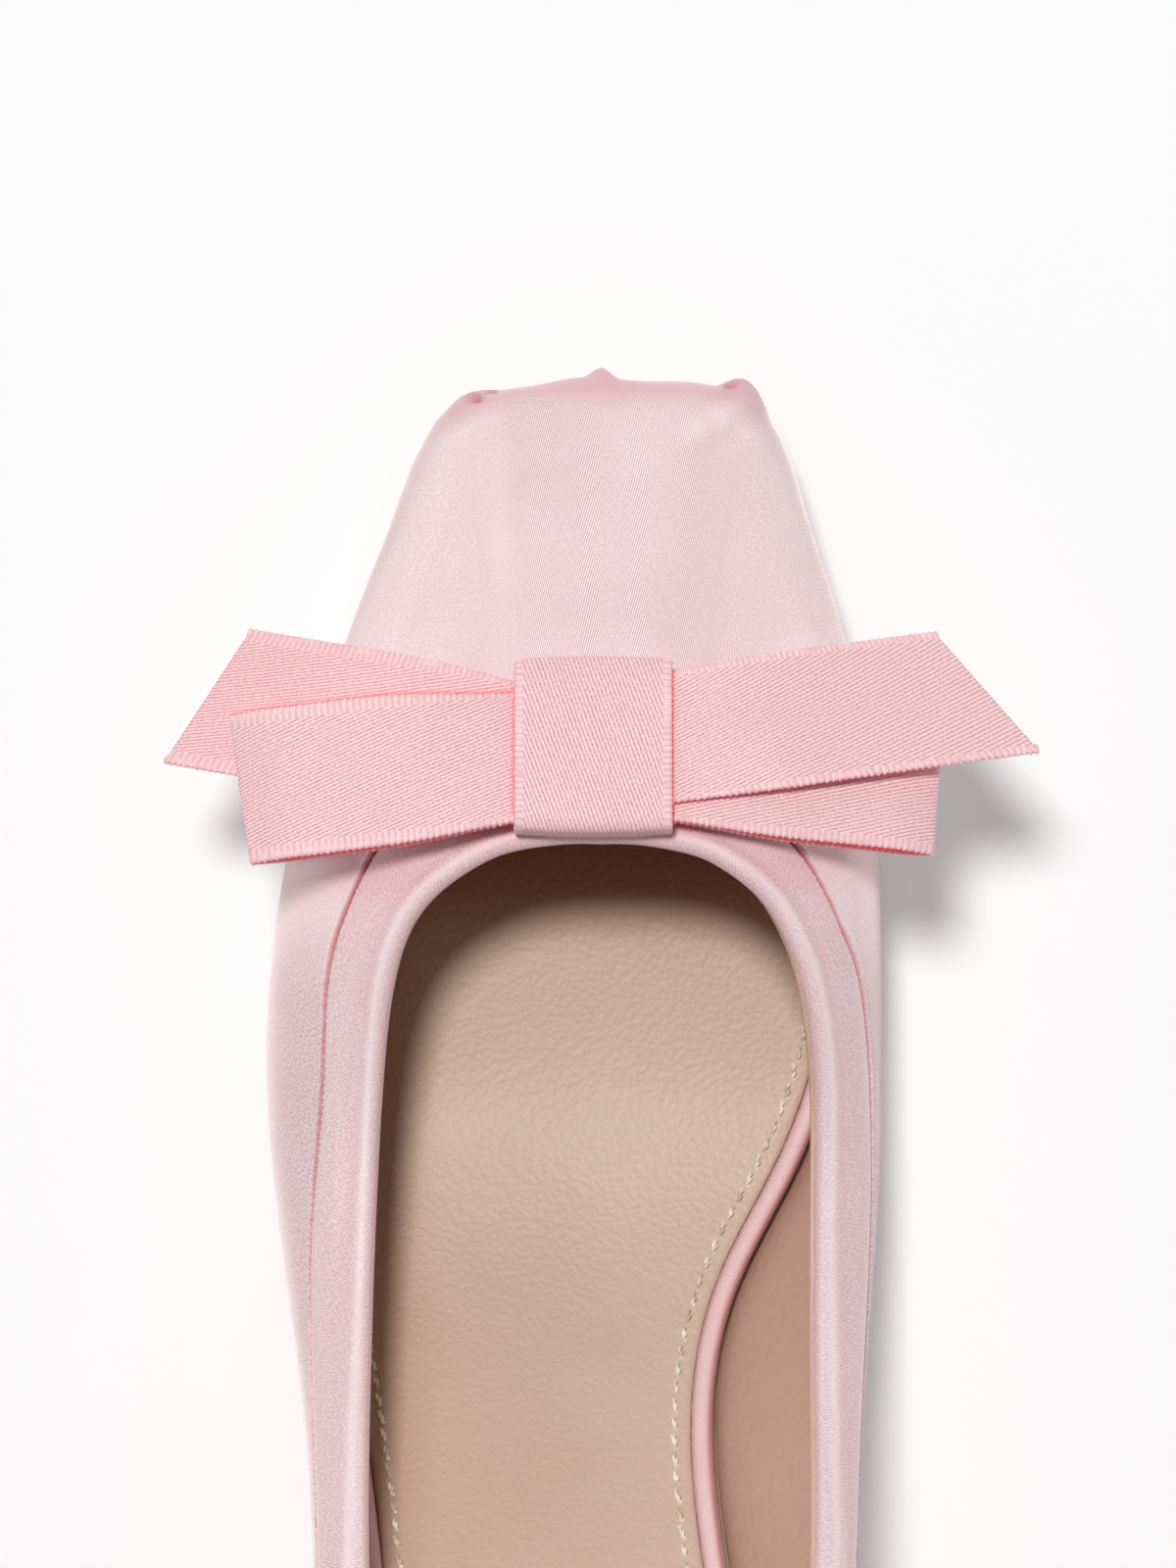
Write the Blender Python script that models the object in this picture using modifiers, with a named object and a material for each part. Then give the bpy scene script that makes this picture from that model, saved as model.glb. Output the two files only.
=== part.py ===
"""A left slingback heel in satin: square pleated toe, wide topline band, ribbon bow and kitten heel.

Every size and table below is in millimetres. A point is multiplied by MM as it becomes a vertex, so the
objects are in metres. +Y runs towards the toe, +X towards the inner (medial) side of the foot and +Z up.
The origin lies on the floor under the middle of the tread.
"""

import math
from collections import namedtuple

import bmesh
import bpy
import numpy as np

MM = 0.001
GAP = 0.3  # between two pieces that touch

# ---- driving dimensions ---------------------------------------------------------------------------------
HEEL_HEIGHT = 50.0  # floor to the underside of the board, at the back of the seat
SEAT_BACK_Y = -159.0
BREAST_Y = -112.0  # front of the heel block
SEAT_SLOPE = 0.15
TREAD_FRONT_Y, TREAD_BACK_Y = 28.0, -12.0  # the flat that stands on the floor
TOE_Y = 76.0
TOE_SPRING = 5.0

SOLE_THICKNESS = 2.5
SOLE_EDGE = 1.2  # how far the outsole stands out past the last's feather line
BOARD_THICKNESS = 3.0
SOCK_THICKNESS = 1.2
PIPING_DIAMETER = 2.6

WALL = 2.1
BAND_SEAT = 0.9  # what is left of the wall under the band
BAND_THICKNESS = 0.8
BAND_PADDING = 0.6

RIBBON_WIDTH = 18.2
RIBBON_THICKNESS = 0.6
KNOT_WIDTH, KNOT_LENGTH = 19.7, 22.0

STRAP_WIDTH = 8.5
STRAP_THICKNESS = 1.6

TIP_THICKNESS = 5.0

# ---- the last -------------------------------------------------------------------------------------------
# One row for each rib of the upper, from the end of the outer (lateral) wing round the toe to the end of the
# inner (medial) wing. foot is where the rib leaves the sole, wide its widest point and wide_rise that point's
# height over the sole, top the topline and top_rise its height over the sole. run is how far in from the
# widest point the shoulder reaches and shoulder how high it climbs. band is the width of the topline band and
# cut the share of the rib that is cut away above the sole, where the side sweeps up to the strap.
Rib = namedtuple(
    "Rib", "foot_x foot_y wide_x wide_y wide_rise top_x top_y top_rise run shoulder band cut"
)
RIBS = [
    Rib(-28.1, -124, -28.9, -119, 15.5, -25.6, -111.0, 29.0, 8, 9, 6.5, 0.62),
    Rib(-27.3, -105, -30.4, -102, 16.0, -26.7, -96.0, 26.8, 8, 9, 6.5, 0.36),
    Rib(-28.1, -84, -31.6, -82, 16.5, -27.2, -79.0, 25.8, 8, 9, 6.8, 0.0),
    Rib(-31.8, -56, -33.6, -56, 16.0, -27.5, -56.0, 26.5, 9, 11, 7.0, 0.0),
    Rib(-36.0, -31, -37.4, -31, 15.0, -27.1, -31.0, 28.5, 11, 13, 7.0, 0.0),
    Rib(-37.6, -10, -39.1, -11, 14.0, -25.9, -12.0, 31.5, 12, 15, 7.2, 0.0),
    Rib(-36.4, 11, -37.3, 10, 13.5, -24.2, -0.5, 34.5, 12, 15, 7.4, 0.0),
    Rib(-32.5, 30, -32.8, 30, 12.5, -21.8, 6.4, 36.2, 11, 13, 7.6, 0.0),
    Rib(-27.1, 47, -27.2, 47, 11.5, -17.8, 11.2, 37.2, 9, 11, 8.0, 0.0),
    Rib(-21.4, 61, -21.5, 61.4, 11.0, -12.6, 14.6, 37.8, 8, 9, 8.0, 0.0),
    Rib(-17.3, 69, -17.5, 69.2, 10.5, -8.6, 16.0, 38.0, 7, 8, 8.0, 0.0),
    Rib(-12.6, 71.9, -12.7, 72.3, 10.5, -4.8, 16.6, 38.2, 7, 8, 8.0, 0.0),
    Rib(2.3, 72.7, 2.3, 73.2, 10.5, 1.8, 16.8, 38.4, 7, 8, 8.0, 0.0),
    Rib(16.6, 72.3, 16.7, 72.7, 10.5, 8.6, 16.4, 38.2, 7, 8, 8.0, 0.0),
    Rib(21.0, 69.6, 21.2, 70.0, 10.5, 12.4, 15.6, 38.0, 7, 8, 8.0, 0.0),
    Rib(24.4, 61.5, 24.7, 62, 11.0, 16.2, 14.0, 37.8, 8, 9, 8.0, 0.0),
    Rib(29.3, 47, 29.6, 47, 11.5, 20.9, 10.4, 37.2, 9, 11, 8.0, 0.0),
    Rib(32.9, 30, 33.4, 30, 13.0, 24.4, 5.2, 36.2, 10, 13, 8.2, 0.0),
    Rib(34.5, 12, 35.2, 11, 14.5, 26.8, -1.5, 34.8, 9, 14, 8.4, 0.0),
    Rib(33.2, -6, 35.4, -9, 16.0, 28.3, -12.0, 32.5, 8, 13, 8.5, 0.0),
    Rib(25.0, -27, 34.9, -28, 18.0, 28.3, -28.0, 30.0, 7, 10, 8.5, 0.0),
    Rib(17.6, -42, 34.1, -42, 18.5, 28.0, -41.0, 28.5, 7, 9, 8.2, 0.0),
    Rib(15.5, -57, 32.8, -57, 18.5, 27.7, -56.0, 27.5, 7, 9, 7.8, 0.0),
    Rib(18.2, -84, 31.2, -82, 17.5, 27.2, -79.0, 26.4, 7, 9, 7.2, 0.0),
    Rib(20.3, -105, 29.4, -102, 16.5, 26.2, -96.0, 26.8, 7, 9, 6.6, 0.36),
    Rib(21.6, -124, 27.8, -119, 15.5, 25.0, -111.0, 29.0, 8, 9, 6.5, 0.62),
]
TOE_RIB = 12  # the row at the middle of the toe

# The rest of the last's bottom, from the inner wing round the heel seat to the outer wing.
Seat = namedtuple("Seat", "x y")
SEAT = [
    Seat(20.9, -141),
    Seat(13.4, -154.4),
    Seat(-3.3, SEAT_BACK_Y),
    Seat(-20.0, -154.4),
    Seat(-27.5, -141),
]

# Pleats at the front of the toe: place along the toe from its middle, half-width, and how far they stand out.
Pleat = namedtuple("Pleat", "place half_width depth")
PLEATS = [Pleat(-18.3, 3.6, 1.5), Pleat(-0.6, 3.2, 1.9), Pleat(17.6, 3.4, 2.2)]


def hermite(u, start, end, end_slope):
    """Height at u from 0 to 1 on a cubic that leaves start level and reaches end with end_slope."""
    return start + (end - start) * u * u * (3 - 2 * u) + end_slope * (u**3 - u * u)


def bed_curve(y):
    """Height of the last's bottom over the floor."""
    tread = SOLE_THICKNESS + GAP
    seat_front = HEEL_HEIGHT - SEAT_SLOPE * (BREAST_Y - SEAT_BACK_Y)
    if y > TREAD_FRONT_Y:
        return tread + TOE_SPRING * ((y - TREAD_FRONT_Y) / (TOE_Y - TREAD_FRONT_Y)) ** 2
    if y > TREAD_BACK_Y:
        return tread
    if y > BREAST_Y:
        shank = TREAD_BACK_Y - BREAST_Y
        return hermite((TREAD_BACK_Y - y) / shank, tread, seat_front, SEAT_SLOPE * shank)
    return seat_front + SEAT_SLOPE * (BREAST_Y - y)


# The bed is folded straight across at these places, so that the pieces that lie on it stay parallel.
FOLDS = [
    SEAT_BACK_Y - 10,
    *(TREAD_BACK_Y - (TREAD_BACK_Y - BREAST_Y) * np.linspace(1, 0, 13) ** 1.2),
    *np.linspace(TREAD_FRONT_Y, TOE_Y + 6, 7),
]
FOLD_Z = [bed_curve(y) for y in FOLDS]


def bed_z(y):
    return float(np.interp(y, FOLDS, FOLD_Z))


def spline(knots, values, at):
    """A natural cubic spline through the rows of values, read at each parameter of at."""
    knots, values, at = (np.asarray(a, float) for a in (knots, values, at))
    steps = np.diff(knots)
    slopes = np.diff(values, axis=0) / steps[:, None]
    system = np.eye(len(knots))
    right = np.zeros_like(values)
    for i in range(1, len(knots) - 1):
        system[i, i - 1 : i + 2] = steps[i - 1], 2 * (steps[i - 1] + steps[i]), steps[i]
        right[i] = 6 * (slopes[i] - slopes[i - 1])
    bend = np.linalg.solve(system, right)
    i = np.clip(np.searchsorted(knots, at) - 1, 0, len(knots) - 2)
    h = steps[i][:, None]
    a, b = (knots[i + 1] - at)[:, None] / h, (at - knots[i])[:, None] / h
    return (
        a * values[i]
        + b * values[i + 1]
        + ((a**3 - a) * bend[i] + (b**3 - b) * bend[i + 1]) * h * h / 6
    )


# The bottom's closed outline: every rib's foot, then the seat. Its parameter is the distance along it.
FEET = np.array([(r.foot_x, r.foot_y) for r in RIBS] + [tuple(s) for s in SEAT])
FOOT_AT = np.concatenate([[0], np.cumsum(np.linalg.norm(np.diff(FEET, axis=0), axis=1))])
AROUND = FOOT_AT[-1] + np.linalg.norm(FEET[0] - FEET[-1])
RIB_AT = FOOT_AT[: len(RIBS)]
TOE_AT = RIB_AT[TOE_RIB]
WRAP = 4  # rows repeated past each end, which close the spline smoothly


def foot_line(at):
    """Points of the feather line at these distances along it."""
    knots = np.concatenate([FOOT_AT[-WRAP:] - AROUND, FOOT_AT, FOOT_AT[:WRAP] + AROUND])
    rows = np.concatenate([FEET[-WRAP:], FEET, FEET[:WRAP]])
    return spline(knots, rows, np.mod(at, AROUND))


def outward(at):
    """Unit vectors in plan that point out of the outline at these distances along it."""
    reach = 0.5
    along = foot_line(np.asarray(at) + reach) - foot_line(np.asarray(at) - reach)
    along /= np.linalg.norm(along, axis=1)[:, None]
    return np.stack([-along[:, 1], along[:, 0]], axis=1)


def outline(places, margin):
    """The outline at these distances along it, moved outwards by margin."""
    return foot_line(places) + outward(places) * np.reshape(margin, (-1, 1))


def shoulder_shape(p):
    """0 to 1, straight up at first and landing softly on the top."""
    return np.sqrt(1 - (1 - np.clip(p, 0, 1)) ** 3)


def bezier(a, b, c, d, t):
    t = t[:, None]
    return (1 - t) ** 3 * a + 3 * (1 - t) ** 2 * t * b + 3 * (1 - t) * t * t * c + t**3 * d


def side_normal(points, ends, i):
    """The level unit vector across a line of plan points at i, pointing away from the opening."""
    along = points[min(i + 1, ends)] - points[max(i - 1, 0)]
    along = along / np.linalg.norm(along)
    return np.array([-along[1], along[0]])


Line = namedtuple("Line", "points band cut")  # a rib as a dense row of points, with its band and cut

FOOT_LIFT, FOOT_REACH = 0.1, 0.6  # the wall's lower edge clears the sole this far up and along
LOWER_POINTS, UPPER_POINTS = 15, 60  # points of a rib below and above its widest point
UPPER_PACE = 1.7  # above it they start close together, because the shoulder bends there
UPRIGHT = 0.4  # share of the lower wall that stays upright at each end
LEAVE_SHARE, LEAVE_MOST = 0.3, 11.0  # how far a rib runs square to the outline and to the topline


def ribs_at(places):
    """One line for each place, from the feather line up the wall to the topline."""
    values = spline(RIB_AT, [tuple(r) for r in RIBS], places)
    feet = foot_line(places)
    lower_steps = np.linspace(0, 1, LOWER_POINTS)
    upper_steps = np.linspace(0, 1, UPPER_POINTS + 1)[1:] ** UPPER_PACE
    last = len(places) - 1
    lines = []
    for i, (place, row) in enumerate(zip(places, values)):
        r = Rib(*row)
        away = outward([place])[0]
        foot_z = max(bed_z(feet[i][1] + reach) for reach in (0, WALL * away[1], FOOT_REACH, -FOOT_REACH))
        foot = np.array([*feet[i], foot_z + FOOT_LIFT])
        wide = np.array([r.wide_x, r.wide_y, bed_z(r.wide_y) + r.wide_rise])
        top = np.array([r.top_x, r.top_y, bed_z(r.top_y) + r.top_rise])
        upright = np.array([0, 0, UPRIGHT * (wide[2] - foot[2])])
        lower = bezier(foot, foot + upright, wide - upright, wide, lower_steps)
        leave = side_normal(values[:, 2:4], last, i)
        arrive = side_normal(values[:, 5:7], last, i)
        reach = min(LEAVE_SHARE * abs((wide[:2] - top[:2]) @ arrive), LEAVE_MOST)
        plan = bezier(
            wide[:2], wide[:2] - leave * reach, top[:2] + arrive * reach, top[:2], upper_steps
        )
        run = np.cumsum(np.linalg.norm(np.diff(plan, axis=0, prepend=wide[None, :2]), axis=1))
        climb = r.shoulder * shoulder_shape(run / r.run)
        height = wide[2] + climb + (top[2] - wide[2] - climb[-1]) * run / run[-1]
        points = np.concatenate([lower, np.column_stack([plan, height])])
        push_pleats(points, place - TOE_AT, away, wide[2])
        lines.append(Line(points, r.band, max(0.0, r.cut)))
    return lines


PLEAT_REACH = 9.0  # how far back on the vamp a pleat fades out
PLEAT_FOOT = 0.35  # share of a pleat's depth that is left at the sole


def push_pleats(points, place, away, wide_z):
    """Move a rib outwards by the pleats: fully over the toe's front edge and not at all back on the vamp."""
    push = sum(
        p.depth * math.cos(math.pi / 2 * (place - p.place) / p.half_width) ** 2
        for p in PLEATS
        if abs(place - p.place) < p.half_width
    )
    back = np.clip(np.linalg.norm(points[:, :2] - points[0, :2], axis=1) / PLEAT_REACH, 0, 1)
    low = np.clip((points[:, 2] - points[0, 2]) / (wide_z - points[0, 2]), 0, 1)
    points[:, :2] += (push * (1 - back**2) * (PLEAT_FOOT + (1 - PLEAT_FOOT) * low))[:, None] * away


BEND_PACE = 7.0  # a bend of one radian counts as this many millimetres when rows are spread along a rib
FOOT_STRIP = 2.0  # the wall stands straight up this far beside the board


def lengths_of(points):
    return np.concatenate([[0], np.cumsum(np.linalg.norm(np.diff(points, axis=0), axis=1))])


def read_line(line, lengths):
    """Points of a line at these lengths along it."""
    along = lengths_of(line.points)
    return np.stack([np.interp(lengths, along, line.points[:, k]) for k in range(3)], axis=1)


def wall_lengths(line, rows):
    """Lengths along a rib for the wall's rows, from its lower edge to the seam, closer where it bends."""
    along = lengths_of(line.points)
    steps = np.diff(line.points, axis=0)
    steps /= np.linalg.norm(steps, axis=1)[:, None]
    turn = np.arccos(np.clip((steps[1:] * steps[:-1]).sum(axis=1), -1, 1))
    pace = along + BEND_PACE * np.concatenate([[0, 0], np.cumsum(turn)])
    edge = line.cut * along[-1]
    low, high = np.interp([edge + FOOT_STRIP, along[-1] - line.band], along, pace)
    return np.concatenate([[edge], np.interp(np.linspace(low, high, rows), pace, along)])


def band_lengths(line, start, rows):
    """Lengths along a rib for the band's rows, from start past the seam to the topline."""
    total = lengths_of(line.points)[-1]
    return np.linspace(total - line.band + start, total, rows)


def column_places(toe_step, side_step, toe_reach):
    """Places of the upper's columns along the feather line, close together at the toe."""
    sides = [(RIB_AT[0], TOE_AT - toe_reach), (TOE_AT + toe_reach, RIB_AT[-1])]
    left, right = (np.linspace(a, b, 1 + round((b - a) / side_step)) for a, b in sides)
    toe = np.linspace(sides[0][1], sides[1][0], 1 + round(2 * toe_reach / toe_step))
    return np.concatenate([left[:-1], toe, right[1:]])


def normals_of(grid):
    """Unit normals of a grid of points, columns first, facing away from the foot."""
    across, up = np.gradient(grid, axis=0), np.gradient(grid, axis=1)
    normal = np.cross(up, across)
    return normal / np.linalg.norm(normal, axis=2)[:, :, None]


# ---- making objects -------------------------------------------------------------------------------------
def clear_scene():
    for obj in list(bpy.data.objects):
        bpy.data.objects.remove(obj)


def make_material(name, colour, roughness, metallic=0.0):
    material = bpy.data.materials.new(name)
    material.use_nodes = True
    shader = material.node_tree.nodes["Principled BSDF"]
    shader.inputs["Base Color"].default_value = (*colour, 1.0)
    shader.inputs["Roughness"].default_value = roughness
    shader.inputs["Metallic"].default_value = metallic
    return material


def add_object(name, data, material):
    obj = bpy.data.objects.new(name, data)
    data.materials.append(material)
    bpy.data.collections["slingback_heel"].objects.link(obj)
    return obj


def add_mesh(name, build, material):
    """An object whose mesh a function builds in millimetres."""
    bm = bmesh.new()
    build(bm)
    bmesh.ops.scale(bm, vec=(MM, MM, MM), verts=bm.verts)
    mesh = bpy.data.meshes.new(name)
    bm.to_mesh(mesh)
    bm.free()
    mesh.shade_smooth()
    mesh.set_sharp_from_angle(angle=math.radians(40))
    return add_object(name, mesh, material)


def sheet(bm, grid, closed=False):
    """Quads over a grid of points, columns first. A closed sheet joins its last column to its first."""
    verts = [[bm.verts.new(p) for p in column] for column in grid]
    columns = list(zip(verts, verts[1:])) + ([(verts[-1], verts[0])] if closed else [])
    for a, b in columns:
        for j in range(len(a) - 1):
            bm.faces.new((a[j], a[j + 1], b[j + 1], b[j]))
    return verts


def thicken(obj, thickness, weights=None, thinnest=0.0, offset=1.0):
    """Solidify towards the faces' own side. Weights, one for each vertex, thin it in places."""
    solid = obj.modifiers.new("wall", "SOLIDIFY")
    solid.thickness = thickness * MM
    solid.offset = offset
    solid.use_even_offset = True
    if weights is not None:
        group = obj.vertex_groups.new(name="wall")
        for i, weight in enumerate(weights):
            group.add([i], weight, "REPLACE")
        solid.vertex_group = "wall"
        solid.thickness_vertex_group = thinnest


def bevel_edges(obj, width, angle=50):
    bevel = obj.modifiers.new("edge", "BEVEL")
    bevel.width = width * MM
    bevel.segments = 1
    bevel.limit_method = "ANGLE"
    bevel.angle_limit = math.radians(angle)


# ---- the upper and its band -----------------------------------------------------------------------------
TOE_COLUMN_STEP, SIDE_COLUMN_STEP, TOE_COLUMNS_REACH = 1.6, 8.5, 26.0
WALL_ROWS, BAND_ROWS = 10, 3
STEP = 0.4  # width of the step in the wall where the band is let in
BAND_LIFT = 0.5  # how far the band stands up past the wall
SEAM_GAP = 0.65  # along the wall, from the step to the band


def make_upper(lines, satin):
    grid = [
        read_line(
            line, np.concatenate([wall_lengths(line, WALL_ROWS), band_lengths(line, STEP, BAND_ROWS)])
        )
        for line in lines
    ]
    upper = add_mesh("upper", lambda bm: sheet(bm, grid), satin)
    weights = ([1.0] * (WALL_ROWS + 1) + [0.0] * BAND_ROWS) * len(lines)
    thicken(upper, WALL, weights, BAND_SEAT / WALL)


def make_topline_band(lines, satin):
    rows = BAND_ROWS + 1
    grid = np.array([read_line(line, band_lengths(line, STEP + SEAM_GAP, rows)) for line in lines])
    upwards = grid[:, -1] - grid[:, -2]
    grid += normals_of(grid) * (BAND_SEAT + GAP)
    grid[:, -1] += BAND_LIFT * upwards / np.linalg.norm(upwards, axis=1)[:, None]
    band = add_mesh("topline_band", lambda bm: sheet(bm, grid), satin)
    across = np.sin(math.pi * np.linspace(0, 1, rows))
    full = BAND_THICKNESS + BAND_PADDING
    thicken(band, full, list(across) * len(lines), BAND_THICKNESS / full)


# ---- sole, board, sock and piping -----------------------------------------------------------------------
PIPING_START, PIPING_END = -8.0, -36.0  # where the piping ends, on the inner and on the outer side
FADE = 14.0  # the sock's edge moves in beside the piping over this length
PIPING_SIDE_GAP = 0.2  # how much further in than the board's edge the piping lies
PIPING_POINTS = 52
SOCK_INSET = 0.9
TOE_HALF = 30.0  # the outlines' points are close together this far each way from the toe's middle
EDGE_STEPS = (2.5, 8.0)  # steps along the outline of the sole and the board, at the toe and elsewhere
SOCK_STEPS = (3.0, 7.0)
EDGE_BEVEL = 0.5
SEARCH_STEPS = 961  # places tried along half the outline to find one at a given y


def plate(bm, points, top, thickness, tail=None):
    """A flat outline cut across at each fold, given a thickness downwards, and laid along the bed."""
    face = bm.faces.new([bm.verts.new((x, y, 0)) for x, y in points])
    if tail is not None:
        bmesh.ops.bisect_plane(
            bm, geom=bm.verts[:] + bm.edges[:] + [face], plane_co=(0, tail, 0),
            plane_no=(0, -1, 0), clear_outer=True,
        )
    for y in FOLDS:
        bmesh.ops.bisect_plane(
            bm, geom=bm.verts[:] + bm.edges[:] + bm.faces[:], plane_co=(0, y, 0), plane_no=(0, 1, 0)
        )
    bmesh.ops.recalc_face_normals(bm, faces=bm.faces)
    flat = bmesh.ops.extrude_face_region(bm, geom=bm.faces[:])
    raised = {v for v in flat["geom"] if isinstance(v, bmesh.types.BMVert)}
    for vert in bm.verts:
        vert.co.z = bed_z(vert.co.y) + top - (0 if vert in raised else thickness)
    bmesh.ops.recalc_face_normals(bm, faces=bm.faces)


def outline_places(step_toe, step):
    """Places round the whole outline, closer at the toe's corners."""
    start, end = TOE_AT - TOE_HALF, TOE_AT + TOE_HALF
    toe = np.arange(start, end, step_toe)
    rest = np.linspace(end, start + AROUND, round((AROUND - 2 * TOE_HALF) / step))
    return np.concatenate([toe, rest[:-1]])


def piping_share(places):
    """1 where the piping runs along the edge and 0 at the forefoot, with a soft change between."""
    ys = foot_line(places)[:, 1]
    inner = np.mod(places, AROUND) > TOE_AT
    end = np.where(inner, PIPING_START, PIPING_END)
    return np.clip((end + FADE - ys) / FADE, 0, 1)


def make_outsole(leather):
    points = outline(outline_places(*EDGE_STEPS), SOLE_EDGE)
    sole = add_mesh(
        "outsole", lambda bm: plate(bm, points, -GAP, SOLE_THICKNESS, tail=BREAST_Y + GAP), leather
    )
    bevel_edges(sole, EDGE_BEVEL)


def make_insole_board(satin):
    points = outline(outline_places(*EDGE_STEPS), -GAP)
    board = add_mesh(
        "insole_board", lambda bm: plate(bm, points, BOARD_THICKNESS, BOARD_THICKNESS), satin
    )
    bevel_edges(board, EDGE_BEVEL)


def make_sock(leather):
    places = outline_places(*SOCK_STEPS)
    points = outline(places, -SOCK_INSET - (PIPING_DIAMETER + GAP) * piping_share(places))
    top = BOARD_THICKNESS + GAP + SOCK_THICKNESS
    add_mesh("sock", lambda bm: plate(bm, points, top, SOCK_THICKNESS), leather)


def side_place(y, inner):
    """The place on the outline at this y, on the inner or the outer side."""
    half_way = AROUND / 2 if inner else -AROUND / 2
    places = np.linspace(TOE_AT, TOE_AT + half_way, SEARCH_STEPS)
    ys = foot_line(places)[:, 1]
    return places[np.argmin(np.abs(ys - y))]


def make_piping(satin):
    start, end = side_place(PIPING_START, True), side_place(PIPING_END, False) + AROUND
    places = np.linspace(start, end, PIPING_POINTS)
    radius = PIPING_DIAMETER / 2
    points = outline(places, -GAP - PIPING_SIDE_GAP - radius)
    curve = bpy.data.curves.new("sock_piping", "CURVE")
    curve.dimensions = "3D"
    curve.bevel_depth = radius * MM
    curve.bevel_resolution = 2
    curve.use_fill_caps = True
    line = curve.splines.new("POLY")
    line.points.add(len(points) - 1)
    for point, (x, y) in zip(line.points, points):
        z = bed_z(y) + BOARD_THICKNESS + 1.5 * GAP + radius
        point.co = (x * MM, y * MM, z * MM, 1)
    add_object("sock_piping", curve, satin)


# ---- heel -----------------------------------------------------------------------------------------------
TIP_BACK_Y, TIP_FRONT_Y = -152.0, -138.5
TIP_HALF_WIDTH = 7.2
HEEL_X = -3.3
HEEL_TAPER = 2.3  # how quickly the block narrows below the seat
HEEL_SIDES, HEEL_RINGS = 30, 11
TIP_FRONT_POWER, TIP_BACK_POWER = 5.0, 2.2  # superellipse powers: square in front and round behind


def seat_ring(count):
    """The seat's outline behind the breast, then straight along the breast. It ends where it starts."""
    places = np.linspace(side_place(BREAST_Y, True), side_place(BREAST_Y, False) + AROUND, count)
    arc = outline(places, -GAP)
    breast = np.linspace(arc[-1], arc[0], count // 3)[1:-1]
    return np.concatenate([arc, breast])


def tip_ring(ring):
    """The heel tip's outline, point for point with the seat's: round at the back and square in front."""
    centre_y = (TIP_BACK_Y + TIP_FRONT_Y) / 2
    middle = ring.mean(axis=0)
    turn = np.arctan2(ring[:, 1] - middle[1], ring[:, 0] - middle[0])
    power = np.where(np.sin(turn) > 0, TIP_FRONT_POWER, TIP_BACK_POWER)
    size = (np.abs(np.cos(turn)) ** power + np.abs(np.sin(turn)) ** power) ** (-1 / power)
    half_length = (TIP_FRONT_Y - TIP_BACK_Y) / 2
    return np.stack(
        [HEEL_X + TIP_HALF_WIDTH * size * np.cos(turn), centre_y + half_length * size * np.sin(turn)],
        axis=1,
    )


def make_heel(satin):
    seat = seat_ring(HEEL_SIDES)
    tip = tip_ring(seat)
    tip_z = TIP_THICKNESS + GAP

    def build(bm):
        rings = []
        tops = [bed_z(y) - GAP for _, y in seat]
        for drop in np.linspace(0, 1, HEEL_RINGS):
            share = 1 - (1 - drop) ** HEEL_TAPER
            ring = seat * (1 - share) + tip * share
            heights = [top * (1 - drop) + tip_z * drop for top in tops]
            rings.append([bm.verts.new((x, y, z)) for (x, y), z in zip(ring, heights)])
        for upper, lower in zip(rings, rings[1:]):
            for j in range(len(upper)):
                k = (j + 1) % len(upper)
                bm.faces.new((upper[j], upper[k], lower[k], lower[j]))
        bm.faces.new(rings[0])
        bm.faces.new(rings[-1])
        bmesh.ops.recalc_face_normals(bm, faces=bm.faces)

    add_mesh("heel", build, satin)


def make_heel_tip(rubber):
    ring = tip_ring(seat_ring(HEEL_SIDES))

    def build(bm):
        face = bm.faces.new([bm.verts.new((x, y, 0)) for x, y in ring])
        grown = bmesh.ops.extrude_face_region(bm, geom=[face])
        raised = [v for v in grown["geom"] if isinstance(v, bmesh.types.BMVert)]
        bmesh.ops.translate(bm, vec=(0, 0, TIP_THICKNESS), verts=raised)
        bmesh.ops.recalc_face_normals(bm, faces=bm.faces)

    add_mesh("heel_tip", build, rubber)


# ---- sling strap ----------------------------------------------------------------------------------------
# One row for each station of the strap past the wings: its middle and half its spread at that station, its
# place, and how far its face leans back from upright, in degrees. Both sides use the same rows.
Sling = namedtuple("Sling", "middle half y z lean")
SLING = [
    Sling(-0.8, 24.4, -125, 75.0, 12),
    Sling(-2.2, 20.4, -143, 85.5, 8),
    Sling(-3.0, 12.6, -156, 92.0, 7),
    Sling(-3.3, 0.0, -162.0, 94.5, 7),
]
STRAP_INSETS = np.array([14, 8, 2])  # how far in from a wing's end the strap lies against its inner face
STRAP_DROP = 1.2  # from the topline down to the strap's edge
STRAP_GAP = 0.75
STRAP_STATIONS = 48


def strap_on_wing(places):
    """The strap's two edges and middle where it lies against the inner face of one of the upper's wings."""
    drops = STRAP_DROP + STRAP_WIDTH * np.array([1, 0.5, 0])
    grid = [read_line(line, lengths_of(line.points)[-1] - drops) for line in ribs_at(places)]
    return np.array(grid) - normals_of(np.array(grid)) * STRAP_GAP


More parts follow.
